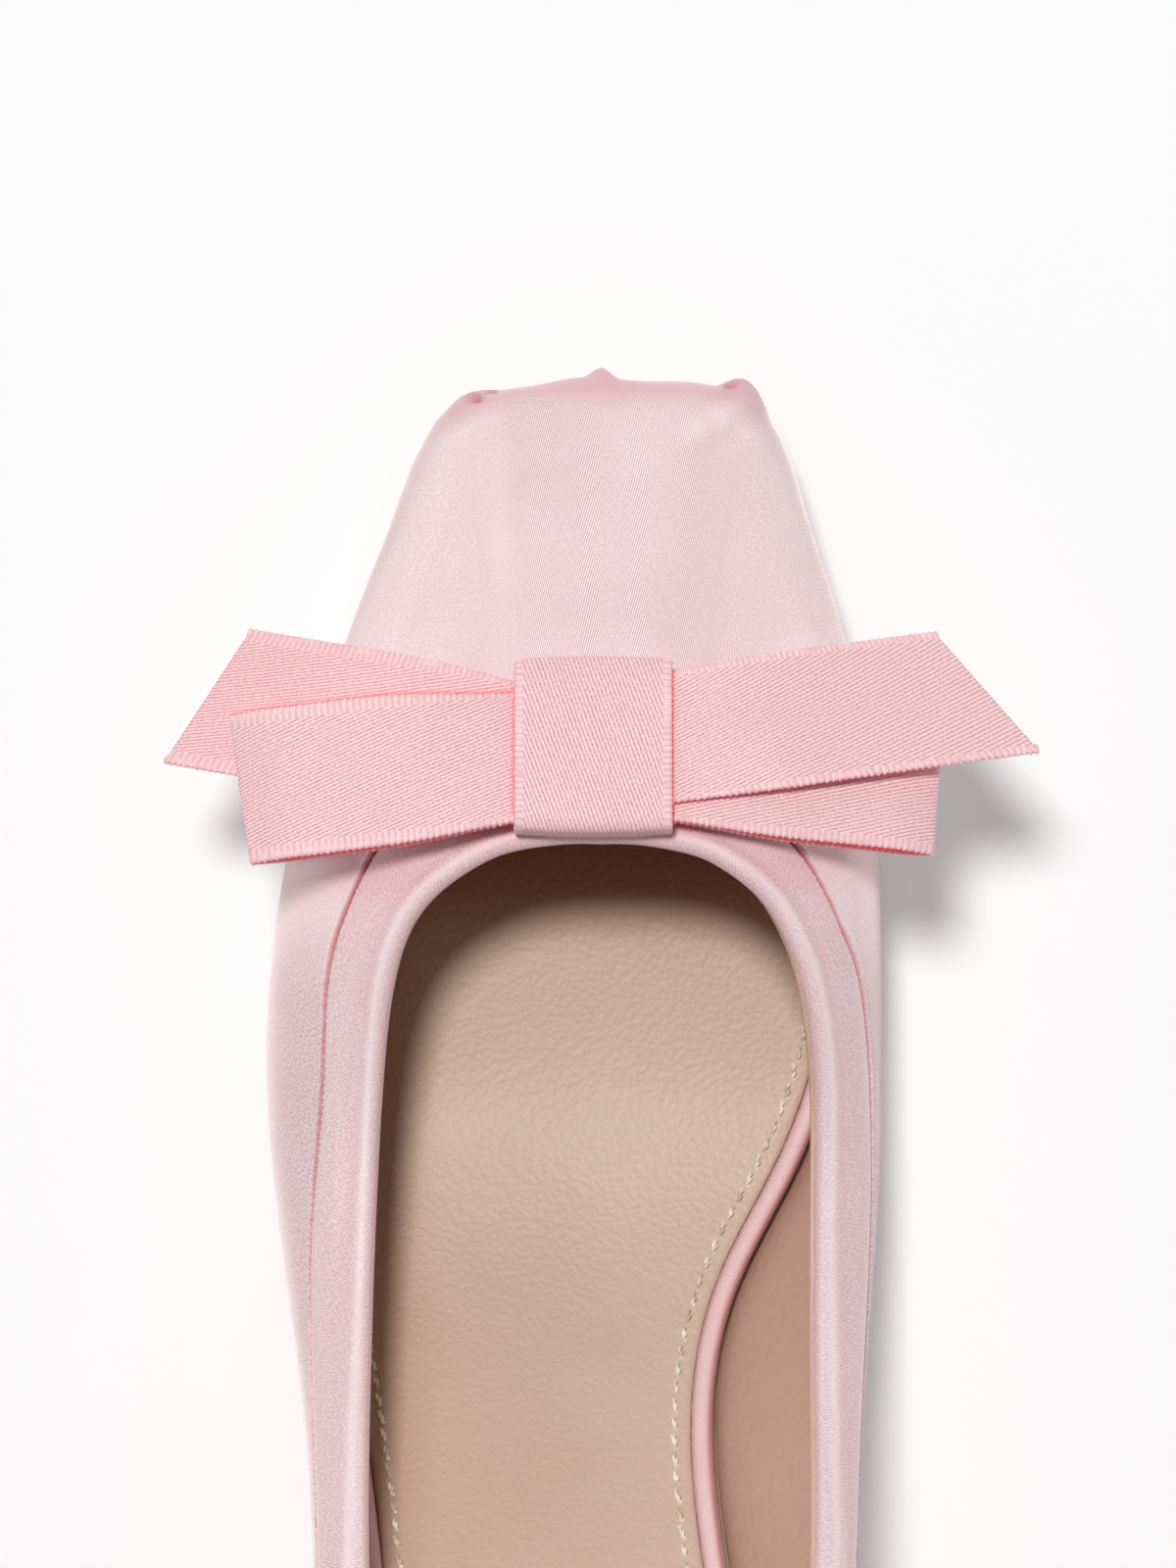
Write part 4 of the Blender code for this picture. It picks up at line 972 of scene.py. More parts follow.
# %% [markdown]
# ## Piping
#
# The sock's edge is finished with piping: a narrow bias strip of satin round a soft cord. It starts under the
# upper on the inner side, runs round the heel seat and ends under the upper on the outer side. Bias cloth
# ripples a little across a cord, so the tube has fine, uneven waves.

# %% The piping's tube
PIPE_SATIN = make_satin("piping_satin", colour(220, 164, 165), colour(252, 222, 221), 50, 50)


def tube(name, centres, normals, sides, radii, material):
    """A closed tube: a ring round each centre, in the plane of its normal and the level across."""
    along = unit(np.gradient(centres, axis=0))
    across = unit(np.cross(along, normals))
    up = np.cross(across, along)
    turn = np.linspace(0, math.tau, sides, endpoint=False)
    rings = centres[:, None] + radii[:, :, None] * (
        np.cos(turn)[None, :, None] * across[:, None] + np.sin(turn)[None, :, None] * up[:, None])
    flat = paired(lengths_of(centres)[:, None], turn * radii.mean(), rings.shape[:2])
    # Both sides lie in a gap, by the wall and by the sock, where the light has bounced between pinks.
    gap = 0.9 * smooth(0.45, 0.9, -np.cos(turn)) + 0.6 * smooth(0.75, 1.0, np.cos(turn))
    obj = new_piece(name, rings.reshape(-1, 3), tube_faces(len(centres), sides, flip=True), material,
                    flat.reshape(-1, 2), {"tuck": np.tile(gap, len(centres))})
    fix_normals(obj)
    return obj


def fix_normals(obj):
    bm = bmesh.new()
    bm.from_mesh(obj.data)
    bmesh.ops.recalc_face_normals(bm, faces=bm.faces)
    bm.to_mesh(obj.data)
    bm.free()


def make_piping():
    start, end = side_place(-8.0, True), side_place(-36.0, False) + AROUND
    places = np.linspace(start, end, 620)
    radius = PIPING_DIAMETER / 2
    plan = outline(places, -GAP - 0.2 - radius)
    centres = np.column_stack([plan, bed_z(plan[:, 1]) + BOARD_THICKNESS + 0.25 + radius])
    rng = np.random.default_rng(7)
    ripple = blurred(rng.normal(size=(len(places), 22)), 2)
    ripple = (ripple + np.roll(ripple, 1, axis=1) + np.roll(ripple, -1, axis=1)) / 3
    radii = radius * (1 + 0.022 * ripple)
    normals = np.tile([0.0, 0, 1], (len(places), 1))
    piping = tube("sock_piping_satin", centres, normals, 22, radii, PIPE_SATIN)
    return ride(piping, "satin", "sock_piping")


make_piping()

# %% [markdown]
# ## Heel and tip
#
# The heel is a moulded block. It starts as the outline of the seat and ends as the small outline of the tip,
# and in between it narrows fast at first. Satin is stretched over it and turned in at the breast, the face
# under the arch, so a fine seam runs down both front corners.

# %% The heel block
TIP_BACK_Y, TIP_FRONT_Y, TIP_HALF_WIDTH, HEEL_X, TIP_THICKNESS = -152.0, -138.5, 7.2, -3.3, 5.0
# Insets and heights of the rubber tip, from the floor up. It has a fine groove near its top.
TIP_PROFILE = [(0.8, 0.0), (0.25, 0.12), (0.0, 0.5), (0.0, 3.6), (0.12, 3.9), (0.12, 4.1),
               (0.0, 4.3), (0.0, 4.8), (0.3, 5.0)]


def seat_ring(count):
    places = np.linspace(side_place(BREAST_Y, True), side_place(BREAST_Y, False) + AROUND, count)
    arc = outline(places, -GAP)
    breast = np.linspace(arc[-1], arc[0], count // 3)[1:-1]
    return np.concatenate([arc, breast])


def tip_ring(ring):
    middle = ring.mean(axis=0)
    turn = np.arctan2(ring[:, 1] - middle[1], ring[:, 0] - middle[0])
    power = np.where(np.sin(turn) > 0, 5.0, 2.2)
    size = (np.abs(np.cos(turn)) ** power + np.abs(np.sin(turn)) ** power) ** (-1 / power)
    half_length, centre_y = (TIP_FRONT_Y - TIP_BACK_Y) / 2, (TIP_BACK_Y + TIP_FRONT_Y) / 2
    x = HEEL_X + TIP_HALF_WIDTH * size * np.cos(turn)
    return np.stack([x, centre_y + half_length * size * np.sin(turn)], axis=1)


HEEL_SATIN = make_satin("heel_satin", DEEP_SATIN, PALE_SATIN, 62, 62)
TIP_RUBBER = leather("tip_rubber", colour(150, 118, 100), colour(166, 132, 112), 1500, 0.03, 0.6)


def stack_rings(name, rings, material, uv=None, attributes=None):
    """A closed solid from rings of points, bottom first, with a flat cap at both ends."""
    faces = tube_faces(len(rings), len(rings[0]))
    obj = new_piece(name, np.array(rings).reshape(-1, 3), faces, material, uv, attributes, sharp=50)
    fix_normals(obj)
    return obj


def make_heel():
    seat = seat_ring(150)
    tip = tip_ring(seat)
    corner = np.minimum(*(np.linalg.norm(seat - seat[i], axis=1) for i in (0, 149)))
    round_in = 0.5 * np.exp(-(corner / 1.2) ** 2)
    middle = seat.mean(axis=0)
    rings, uv, tuck = [], [], []
    for drop in np.concatenate([[1.0, 0.995], np.linspace(0.985, 0.015, 56), [0.005, 0.0]]):
        share = 1 - (1 - drop) ** 2.3
        ring = seat * (1 - share) + tip * share
        close = 0.45 * (np.clip(1 - drop / 0.015, 0, 1) + np.clip(1 - (1 - drop) / 0.015, 0, 1))
        inward = unit(ring.mean(axis=0) - ring)
        ring = ring + inward * (close + round_in)[:, None]
        height = (bed_z(seat[:, 1]) - GAP) * (1 - drop) + (TIP_THICKNESS + GAP) * drop
        rings.append(np.column_stack([ring, height]))
        uv.append(np.column_stack([lengths_of(seat) * (1 - 0.4 * share), height]))
        tuck.append(np.exp(-(((corner - 2.2) / 0.35) ** 2)) * 0.7)
    heel = stack_rings("heel_satin_cover", rings, HEEL_SATIN, np.concatenate(uv),
                       {"tuck": np.concatenate(tuck)})
    ride(heel, "satin", "heel")
    rings = []
    for inset, z in TIP_PROFILE:
        inward = unit(tip.mean(axis=0) - tip)
        rings.append(np.column_stack([tip + inward * inset, np.full(len(tip), z)]))
    lift = stack_rings("heel_tip_rubber", rings, TIP_RUBBER)
    ride(lift, "tip_rubber", "heel_tip")


make_heel()

# %% [markdown]
# ## The sling strap
#
# The strap lies against the inside of each wing of the upper, runs back and up, and passes round the heel. It
# is a strip of satin folded over a core, lined with leather and stitched along both edges.

# %% The strap's path and section
Sling = namedtuple("Sling", "middle half y z lean")
SLING = [
    Sling(-0.8, 24.4, -125, 75.0, 12),
    Sling(-2.2, 20.4, -143, 85.5, 8),
    Sling(-3.0, 12.6, -156, 92.0, 7),
    Sling(-3.3, 0.0, -162.0, 94.5, 7),
]
STRAP_WIDTH, STRAP_THICKNESS = 8.5, 1.6
STRAP_SATIN = make_satin("strap_satin", DEEP_SATIN, PALE_SATIN, 60, 60)


def strap_on_wing(places):
    drops = 1.2 + STRAP_WIDTH * np.array([1, 0.5, 0])
    lines = rib_lines(places)
    grid = read_lines([lengths_of(points)[-1] - drops for points, *_ in lines], lines)
    return grid - normals_of(grid) * 0.75


def strap_stations(count):
    """Low edge, middle and high edge of the strap, station by station, from the outer side to the inner."""
    insets = np.array([14, 8, 2])
    outer = strap_on_wing(RIB_AT[0] + insets[::-1])[::-1]
    inner = strap_on_wing(RIB_AT[-1] - insets)[::-1]
    free = [(s.middle - s.half, s.y, s.z, s.lean) for s in SLING]
    free += [(s.middle + s.half, s.y, s.z, s.lean) for s in SLING[-2::-1]]
    middles = np.array([outer[-1, 1], *(row[:3] for row in free), inner[0, 1]])
    stations = [*outer]
    for before, (x, y, z, lean), after in zip(middles, free, middles[2:]):
        along = (after - before) / np.linalg.norm(after - before)
        level = np.array([along[1], -along[0], 0]) / np.hypot(along[0], along[1])
        tilt = math.radians(lean)
        up = np.cross(math.cos(tilt) * level + math.sin(tilt) * np.array([0, 0, 1]), along)
        half = STRAP_WIDTH / 2 * up / np.linalg.norm(up)
        stations.append(np.array([x, y, z]) + np.array([-half, 0 * half, half]))
    stations = np.array([*stations, *inner])
    knots = lengths_of(stations[:, 1])
    rows = stations.reshape(len(stations), 9)
    return spline(knots, rows, np.linspace(0, knots[-1], count)).reshape(-1, 3, 3)


def band_section(stations, outline_points):
    """Sweep a section of (share across, height out) along stations of low edge, middle and high edge."""
    low, middle, high = stations[:, 0], stations[:, 1], stations[:, 2]
    along = np.gradient(middle, axis=0)
    out = unit(np.cross(high - low, along))
    across = np.array([a for a, _ in outline_points])
    bow = 1 - across**2
    line = middle[:, None] + ((high - low) / 2)[:, None] * across[None, :, None]
    line += (middle - (low + high) / 2)[:, None] * (bow - 1)[None, :, None]
    return line + out[:, None] * np.array([t for _, t in outline_points])[None, :, None]


def make_strap():
    stations = strap_stations(260)
    turn = np.linspace(0, math.tau, 40, endpoint=False)
    c, s = np.cos(turn), np.sin(turn)
    size = (np.abs(c) ** 9 + np.abs(s) ** 2.6) ** (-1 / 5)
    corners = zip(c * size, s * np.clip(size, 0, 1.1))
    section = [(np.clip(x, -1, 1), STRAP_THICKNESS / 2 * (1 + y)) for x, y in corners]
    grid = band_section(stations, section)
    along = lengths_of(stations[:, 1])
    flat = paired(along[:, None], np.array([a for a, _ in section]) * STRAP_WIDTH / 2, grid.shape[:2])
    strap = new_piece("strap_satin_cover", grid.reshape(-1, 3), tube_faces(*grid.shape[:2]), STRAP_SATIN,
                      flat.reshape(-1, 2))
    fix_normals(strap)
    ride(strap, "satin", "sling_strap")


make_strap()

# %% [markdown]
# ## Ribbon
#
# The bow is double-faced satin ribbon, about 18 mm wide. Its face shows a steep twill, and each edge is a
# selvedge: a narrow strip where the weft turns round a thick end thread, which leaves a row of tiny ribs. The
# twill is material. The selvedge's ribs give the ribbon its scalloped outline, so they are made as geometry.

# %% The ribbon's weave
RIBBON_WIDTH, RIBBON_THICKNESS = 17.9, 0.6
SELVEDGE, RIB_PITCH = 1.0, 0.8
RIB_INSET, KNOT_RIB_INSET = 0.56, 0.62  # from the edge to the middle of a rib


def make_ribbon_satin():
    deep, pale, edge_pink = colour(212, 148, 153), colour(246, 212, 213), colour(232, 180, 184)
    paint = Paint("ribbon_twill", ior=1.55, sheen_weight=0.12, sheen_roughness=0.4,
                  sheen_tint=colour(255, 226, 228), emission_strength=0.5)
    u, v = paint.map()
    wander = (paint.noise(70, 2) - 0.5) * 0.5
    twill = floats(paint, u, v + wander, 18, 0.455, 0.35, speck=0.42, narrow=0.1)
    edge = v.size().ramp(RIBBON_WIDTH / 2 - SELVEDGE - 0.12, RIBBON_WIDTH / 2 - SELVEDGE + 0.05)
    ribs = ((u / RIB_PITCH + 0.5).fraction() * math.pi).sine() * 0.45 + 0.35
    cloth = twill + (ribs - twill) * edge
    cloud = paint.noise(50, 3)
    shade = paint.mix(cloth.ramp(0.05, 0.95) + (cloud - 0.5) * 0.25, deep, pale)
    shade = paint.mix(edge * 0.25, shade, edge_pink)
    # Painted shade where the ribbon's layers meet: deep pink.
    tuck = paint.attribute("tuck")
    shade = paint.mix(tuck, shade, SHADE_AND_SEAM_PINK)
    # Painted light: the same places glow deep pink, standing in for light bounced between the layers.
    glow = paint.mix(tuck, colour(0, 0, 0), colour(196, 62, 74))
    paint.feed(base_color=shade, roughness=0.48 + (1 - cloth) * 0.12, emission_color=glow)
    paint.bump((cloud, 0.08), (cloth, 0.05))
    return paint.material


RIBBON = make_ribbon_satin()

# %% The bow's table
BOW_X, BOW_Y = 0.65, 27.4
KNOT_WIDTH, KNOT_LENGTH = 19.7, 22.0
LAYER = RIBBON_THICKNESS + GAP + 0.1
TUCK = 3.0
PINCH, PINCH_REACH = 1.4, 14.0
SAG, SAG_AT = 2.0, 40.0
ROLL_REACH = 12.0
KNOT_POWER, KNOT_SWELL, KNOT_STATIONS = 6, 0.4, 160
KNOT_HALF_HEIGHT = LAYER + RIBBON_THICKNESS + 0.5

Turn = namedtuple("Turn", "out rise")
LEFT_LOOP = [
    Turn(-TUCK, 3), Turn(0, 3), Turn(9, 3.4), Turn(18, 3.5), Turn(27, 3.1), Turn(32.2, 2.4), Turn(34.2, 1.4),
    Turn(32.4, 0.4), Turn(27, 0.2), Turn(18, 0.7), Turn(9, 1.5), Turn(0, 2), Turn(-TUCK, 2),
]
RIGHT_LOOP = [
    Turn(-TUCK, 2), Turn(0, 2), Turn(9, 1.9), Turn(18, 1.6), Turn(26, 1.2), Turn(31.4, 0.4), Turn(33.2, -0.6),
    Turn(31.4, -1.6), Turn(26, -1.7), Turn(18, -1.1), Turn(9, 0.2), Turn(0, 1), Turn(-TUCK, 1),
]
LEFT_TAIL = [Turn(-TUCK, 1), Turn(0, 1), Turn(9, 0.2), Turn(22, -1.3), Turn(39.4, -2.2)]
RIGHT_TAIL = [Turn(-TUCK, 3), Turn(0, 3), Turn(9, 3.4), Turn(22, 3.4), Turn(39.8, 3.0)]
Ribbon = namedtuple("Ribbon", "name side turn start roll slant flare under turns")
RIBBONS = [
    Ribbon("bow_loop_left", -1, -6.0, -1.7, 0, -0.4, 1.4, 0.1, LEFT_LOOP),
    Ribbon("bow_tail_left", -1, 11.9, 0.1, 0, 3.5, 1.4, 0, LEFT_TAIL),
    Ribbon("bow_loop_right", 1, -4.6, -1.2, 0, 0, 0.6, 0.05, RIGHT_LOOP),
    Ribbon("bow_tail_right", 1, 9.4, 0.8, 4, 5.1, 0, 0, RIGHT_TAIL),
]


def bow_frame():
    """The bow's seat on the vamp and two unit vectors: towards the toe along the vamp, and out of it."""
    rib = np.argmin(np.abs(TOPS[:, 0] - BOW_X))
    centre = LINES[rib][0][LOWER_POINTS:]
    ends = BOW_Y - KNOT_LENGTH / 2, BOW_Y, BOW_Y + KNOT_LENGTH / 2
    back, middle, front = np.interp(ends, centre[::-1, 1], centre[::-1, 2])
    slope = math.atan2(back - front, KNOT_LENGTH)
    ahead = np.array([0, math.cos(slope), -math.sin(slope)])
    out = np.array([0, math.sin(slope), math.cos(slope)])
    proud = 0.9 + GAP + 0.8 + 0.6 + GAP + RIBBON_THICKNESS / 2 + KNOT_HALF_HEIGHT - 2 * LAYER
    return np.array([BOW_X, BOW_Y, middle]) + proud * out, ahead, out


SEAT_POINT, AHEAD, OUT = bow_frame()
print("the bow leans", round(math.degrees(math.asin(-AHEAD[2])), 1), "degrees towards the toe")

# %% Loops and tails
ACROSS = np.concatenate([[-1, -0.985], np.linspace(-0.96, 0.96, 57), [0.985, 1]])
# Painted shade on the ribbon's edges, deeper on the heel side.
RIM_TINT = 0.7 * (ACROSS < -0.99) + 0.3 * (ACROSS > 0.99)
EDGE_ROUND = np.sqrt(np.clip(1 - ((np.abs(ACROSS) - 0.967) / 0.033).clip(0) ** 2, 0.04, 1))


def ribbon_middle(ribbon, count):
    """The ribbon's middle surface: a grid of stations by ACROSS, with the path length of each station."""
    turns = np.array(ribbon.turns, float) * [1, LAYER]
    knots = lengths_of(turns)
    path = spline(knots, turns, np.linspace(0, knots[-1], count))
    turn, roll = math.radians(ribbon.turn), math.radians(ribbon.roll)
    reach, rise = path[:, :1], path[:, 1:]
    sag = SAG * (np.maximum(0, reach) / SAG_AT) ** 2
    squeeze = PINCH * (1 - smooth(-TUCK, PINCH_REACH, reach)) - ribbon.flare * smooth(0, 20, reach)
    aside = ACROSS / 2 * (RIBBON_WIDTH - squeeze)
    far = reach - ACROSS * ribbon.slant * np.maximum(0, reach) / turns[:, 0].max()
    x = ribbon.side * (KNOT_WIDTH / 2 + far * math.cos(turn) - aside * math.sin(turn))
    v = ribbon.start + far * math.sin(turn) + aside * math.cos(turn) * math.cos(roll)
    v = v + ribbon.under * (rise.max() - rise)  # the lower layer is folded a little further under
    w = rise - sag - aside * math.sin(roll) * np.clip(reach / ROLL_REACH, 0, 1)
    grid = SEAT_POINT + x[..., None] * [1, 0, 0] + v[..., None] * AHEAD + w[..., None] * OUT
    return grid, paired(ribbon.side * lengths_of(path)[:, None], aside, x.shape)


def dense(line, step=0.1):
    """The line again with points this far apart."""
    along = lengths_of(line)
    at = np.arange(0, along[-1], step)
    return np.stack([np.interp(at, along, line[:, k]) for k in range(3)], axis=1)


def glow_beside(grid, lines, reach):
    """1 right under the edge of a layer above, where light bounces between the pinks, and 0 away from it."""
    above = np.concatenate([dense(line) for line in lines])
    tree = kdtree.KDTree(len(above))
    for i, (x, y, _) in enumerate(above):
        tree.insert((x, y, 0), i)
    tree.balance()
    gaps = np.array([tree.find((x, y, 0))[2] for x, y, _ in grid.reshape(-1, 3)])
    return np.exp(-((gaps / reach) ** 2)).reshape(grid.shape[:2])


def thick_sheet(name, grid, flat, thickness, rounding, tint, under_tint, closed=False):
    """A sheet with rounded edges from its middle surface. A closed sheet joins its last station to its first.

    Little light gets in between the layers, and what comes back is deep pink, so the under side is tinted."""
    normal = outer_normals(grid, closed)
    shift = normal * (thickness / 2 * rounding)[None, :, None]
    top, bottom = grid + shift, grid - shift
    stations, across = grid.shape[:2]
    index = np.arange(stations * across).reshape(stations, across)
    under = index + stations * across
    if closed:
        index, under = (np.concatenate([i, i[:1]]) for i in (index, under))
    faces = [grid_faces(index), grid_faces(under)[:, ::-1], strip_faces(index[:, 0], under[:, 0])[:, ::-1],
             strip_faces(under[:, -1], index[:, -1])[:, ::-1]]
    if not closed:
        faces += [strip_faces(under[0], index[0])[:, ::-1], strip_faces(index[-1], under[-1])[:, ::-1]]
    obj = new_piece(name, np.concatenate([top.reshape(-1, 3), bottom.reshape(-1, 3)]), np.concatenate(faces),
                    RIBBON, np.tile(flat.reshape(-1, 2), (2, 1)),
                    {"tuck": np.concatenate([np.ravel(tint), np.full(stations * across, under_tint)])})
    fix_normals(obj)
    return obj


def outer_normals(grid, closed=False):
    """Normals of a grid of stations that face out of the bow. A closed grid's stations run round a ring."""
    around = np.roll(grid, -1, axis=0) - np.roll(grid, 1, axis=0) if closed else np.gradient(grid, axis=0)
    normal = unit(np.cross(np.gradient(grid, axis=1), around))
    top = np.argmax(grid[:, len(ACROSS) // 2] @ OUT) if closed else 0
    return normal * np.sign(normal[top, len(ACROSS) // 2] @ OUT)


selvedges = []  # lines of points along each edge, with the way up at each point


def add_selvedge(grid, column, inset, normals):
    step = unit(grid[:, len(ACROSS) // 2] - grid[:, column])
    selvedges.append((grid[:, column] + step * inset, normals[:, column]))


grids = {ribbon.name: ribbon_middle(ribbon, 200 if "loop" in ribbon.name else 140) for ribbon in RIBBONS}
KNOT_LINE = SEAT_POINT + np.linspace(-12, 12, 9)[:, None] * AHEAD
knot_edges = [KNOT_LINE + side * KNOT_WIDTH / 2 * np.array([1, 0, 0]) for side in (-1, 1)]
LIES_UNDER = {"bow_tail_left": "bow_loop_left", "bow_loop_right": "bow_tail_right"}
SLIT_REACH = {"bow_loop_right": 0.35}  # how far the glow of a slit reaches; the others have the usual reach
USUAL_REACH, SLIT_TINT = 0.28, 0.85
LOOP_UNDER_TINT, TAIL_UNDER_TINT, KNOT_UNDER_TINT = 0.8, 0.1, 0.6
for ribbon in RIBBONS:
    grid, flat = grids[ribbon.name]
    above = list(knot_edges)
    if ribbon.name in LIES_UNDER:
        cover = grids[LIES_UNDER[ribbon.name]][0]
        above += [cover[:, 0], cover[:, -1]]
    glow = glow_beside(grid, above, SLIT_REACH.get(ribbon.name, USUAL_REACH))
    tint = np.maximum(SLIT_TINT * glow, RIM_TINT)
    # Painted shade: the left tail grows a little deeper pink towards its end.
    if ribbon.name == "bow_tail_left":
        tint = np.maximum(tint, 0.07 * smooth(8, 40, lengths_of(grid[:, len(ACROSS) // 2]))[:, None])
    under_tint = LOOP_UNDER_TINT if "loop" in ribbon.name else TAIL_UNDER_TINT
    piece = thick_sheet(ribbon.name + "_ribbon", grid, flat, RIBBON_THICKNESS, EDGE_ROUND, tint, under_tint)
    ride(piece, "ribbon", ribbon.name)
    for column in (0, -1):
        add_selvedge(grid, column, RIB_INSET, outer_normals(grid))

# %% The knot
def make_knot():
    half_length = (KNOT_LENGTH - RIBBON_THICKNESS) / 2
    turn = np.linspace(0, math.tau, KNOT_STATIONS, endpoint=False)[:, None]
    c, n = np.cos(turn), np.sin(turn)
    size = (np.abs(c) ** KNOT_POWER + np.abs(n) ** KNOT_POWER) ** (-1 / KNOT_POWER)
    swell = KNOT_SWELL * (1 - ACROSS**2)
    x = np.broadcast_to(KNOT_WIDTH / 2 * ACROSS, (KNOT_STATIONS, len(ACROSS)))
    v = (half_length + swell) * size * c
    w = 2 * LAYER + KNOT_HALF_HEIGHT * size * n + swell * np.maximum(0, n) / 2
    grid = SEAT_POINT + x[..., None] * [1, 0, 0] + v[..., None] * AHEAD + w[..., None] * OUT
    middle = grid[:, len(ACROSS) // 2]
    around = lengths_of(np.concatenate([middle, middle[:1]]))
    flat = paired(-around[:-1, None], -x * (RIBBON_WIDTH / KNOT_WIDTH), x.shape)
    # Painted shade on the knot's edges.
    tint = np.tile(0.75 * (np.abs(ACROSS) > 0.99), (KNOT_STATIONS, 1))
    knot = thick_sheet("bow_knot_ribbon", grid, flat, RIBBON_THICKNESS, EDGE_ROUND, tint, KNOT_UNDER_TINT,
                       closed=True)
    ride(knot, "ribbon", "bow_knot")
    normals = outer_normals(grid, closed=True)
    for column in (0, -1):
        add_selvedge(grid, column, KNOT_RIB_INSET, normals)


make_knot()

# %% [markdown]
# ## Small things in rows
#
# Stitches and the ribs of a selvedge are the same small thing again and again along a line. A Geometry Nodes
# tree does that: it walks the line at an even pitch, sets a motif at each step, turns it along the line
# and upright, and joins the result. The way up is stored on the line's own points.

# %% The tree that repeats a motif
def repeat_tree():
    tree = bpy.data.node_groups.new("motif_along_line", "GeometryNodeTree")
    inputs = {"Line": "Geometry", "Motif": "Object", "Pitch": "Float", "Unevenness": "Float", "Seed": "Int",
              "Material": "Material"}
    for name, kind in inputs.items():
        tree.interface.new_socket(name, in_out="INPUT", socket_type="NodeSocket" + kind)
    tree.interface.new_socket("Row", in_out="OUTPUT", socket_type="NodeSocketGeometry")

    def node(kind, settings=None, **links):
        made = tree.nodes.new(kind)
        for key, value in (settings or {}).items():
            setattr(made, key, value)
        for key, value in links.items():
            socket = made.inputs[int(key[1:]) if key in ("i0", "i1") else key]
            if isinstance(value, bpy.types.NodeSocket):
                tree.links.new(value, socket)
            else:
                socket.default_value = value
        return made

    given = node("NodeGroupInput").outputs
    curve = node("GeometryNodeMeshToCurve", Mesh=given["Line"])
    steps = node("GeometryNodeResampleCurve", {"mode": "LENGTH"},
                 Curve=curve.outputs["Curve"], Length=given["Pitch"])
    up = node("GeometryNodeInputNamedAttribute", {"data_type": "FLOAT_VECTOR"}, Name="up")
    along = node("GeometryNodeInputTangent")
    first = node("FunctionNodeAlignRotationToVector", {"axis": "X"}, Vector=along.outputs["Tangent"])
    second = node("FunctionNodeAlignRotationToVector", {"axis": "Z", "pivot_axis": "X"},
                  Rotation=first.outputs["Rotation"], Vector=up.outputs["Attribute"])
    motif = node("GeometryNodeObjectInfo", Object=given["Motif"])
    spread = node("FunctionNodeRandomValue", {"data_type": "FLOAT"}, Seed=given["Seed"])
    low = node("ShaderNodeMath", {"operation": "SUBTRACT"}, i0=1.0, i1=given["Unevenness"])
    high = node("ShaderNodeMath", {"operation": "ADD"}, i0=1.0, i1=given["Unevenness"])
    floats_in = [s for s in spread.inputs if s.type == "VALUE"]
    tree.links.new(low.outputs[0], floats_in[0])
    tree.links.new(high.outputs[0], floats_in[1])
    size = next(s for s in spread.outputs if s.type == "VALUE")
    placed = node("GeometryNodeInstanceOnPoints", Points=steps.outputs["Curve"],
                  Instance=motif.outputs["Geometry"], Rotation=second.outputs["Rotation"], Scale=size)
    real = node("GeometryNodeRealizeInstances", Geometry=placed.outputs["Instances"])
    done = node("GeometryNodeSetMaterial", Geometry=real.outputs["Geometry"], Material=given["Material"])
    end = tree.nodes.new("NodeGroupOutput")
    tree.links.new(done.outputs["Geometry"], end.inputs["Row"])
    return tree


REPEAT = repeat_tree()


def repeat(name, lines, motif, pitch, material, slot, unevenness=0.0, seed=1):
    """Set the motif along every line of (points, ways up)."""
    points, edges, ups = [], [], []
    for line, up in lines:
        edges += [(len(points) + i, len(points) + i + 1) for i in range(len(line) - 1)]
        points += [tuple(p * MM) for p in line]
        ups += [tuple(u) for u in up]
    mesh = bpy.data.meshes.new(name)
    mesh.from_pydata(points, edges, [])
    ways_up = mesh.attributes.new("up", "FLOAT_VECTOR", "POINT")
    ways_up.data.foreach_set("vector", np.array(ups, np.float32).ravel())
    guide = bpy.data.objects.new(name + "_guide", mesh)
    COLLECTION.objects.link(guide)
    rows = guide.modifiers.new("rows", "NODES")
    rows.node_group = REPEAT
    given = {"Motif": motif, "Pitch": pitch * MM, "Unevenness": unevenness, "Seed": seed,
             "Material": material}
    for item in REPEAT.interface.items_tree:
        if item.in_out == "INPUT" and item.name in given:
            rows[item.identifier] = given[item.name]
    bpy.context.view_layer.update()
    made = bpy.data.meshes.new_from_object(guide.evaluated_get(bpy.context.evaluated_depsgraph_get()))
    bpy.data.objects.remove(guide)
    made.name = name
    made.shade_smooth()
    obj = bpy.data.objects.new(name, made)
    COLLECTION.objects.link(obj)
    return ride(obj, slot)


# %% Three motifs
def strand(radius, length, sides, rings, plies=1, twist=0.0, dip=0.0, power=3.5):
    """A short thread along X: plies wound round each other, thinner and lower at both ends.

    The higher the power, the blunter the ends."""
    points, faces = [], []
    t = np.sin(np.linspace(-1, 1, rings) * math.pi / 2)
    fat = np.sqrt(np.clip(1 - np.abs(t) ** power, 0.03, 1))
    for ply in range(plies):
        phase = math.tau * ply / plies + twist * t / 2
        off = radius * 0.62 * (plies > 1)
        y, z = off * fat * np.cos(phase), off * fat * np.sin(phase) - dip * t**4
        centre = np.column_stack([t * length / 2, y, z])
        r = radius * (0.66 if plies > 1 else 1.0) * fat
        turn = np.linspace(0, math.tau, sides, endpoint=False)
        spoke = np.column_stack([0 * turn, np.cos(turn), np.sin(turn)])
        ring = centre[:, None] + r[:, None, None] * spoke[None]
        index = np.arange(rings * sides).reshape(rings, sides) + len(points)
        points += ring.reshape(-1, 3).tolist()
        closed = np.concatenate([index, index[:, :1]], axis=1)
        faces += grid_faces(closed)[:, ::-1].tolist() + [tuple(index[0]), tuple(index[-1][::-1])]
    return points, faces


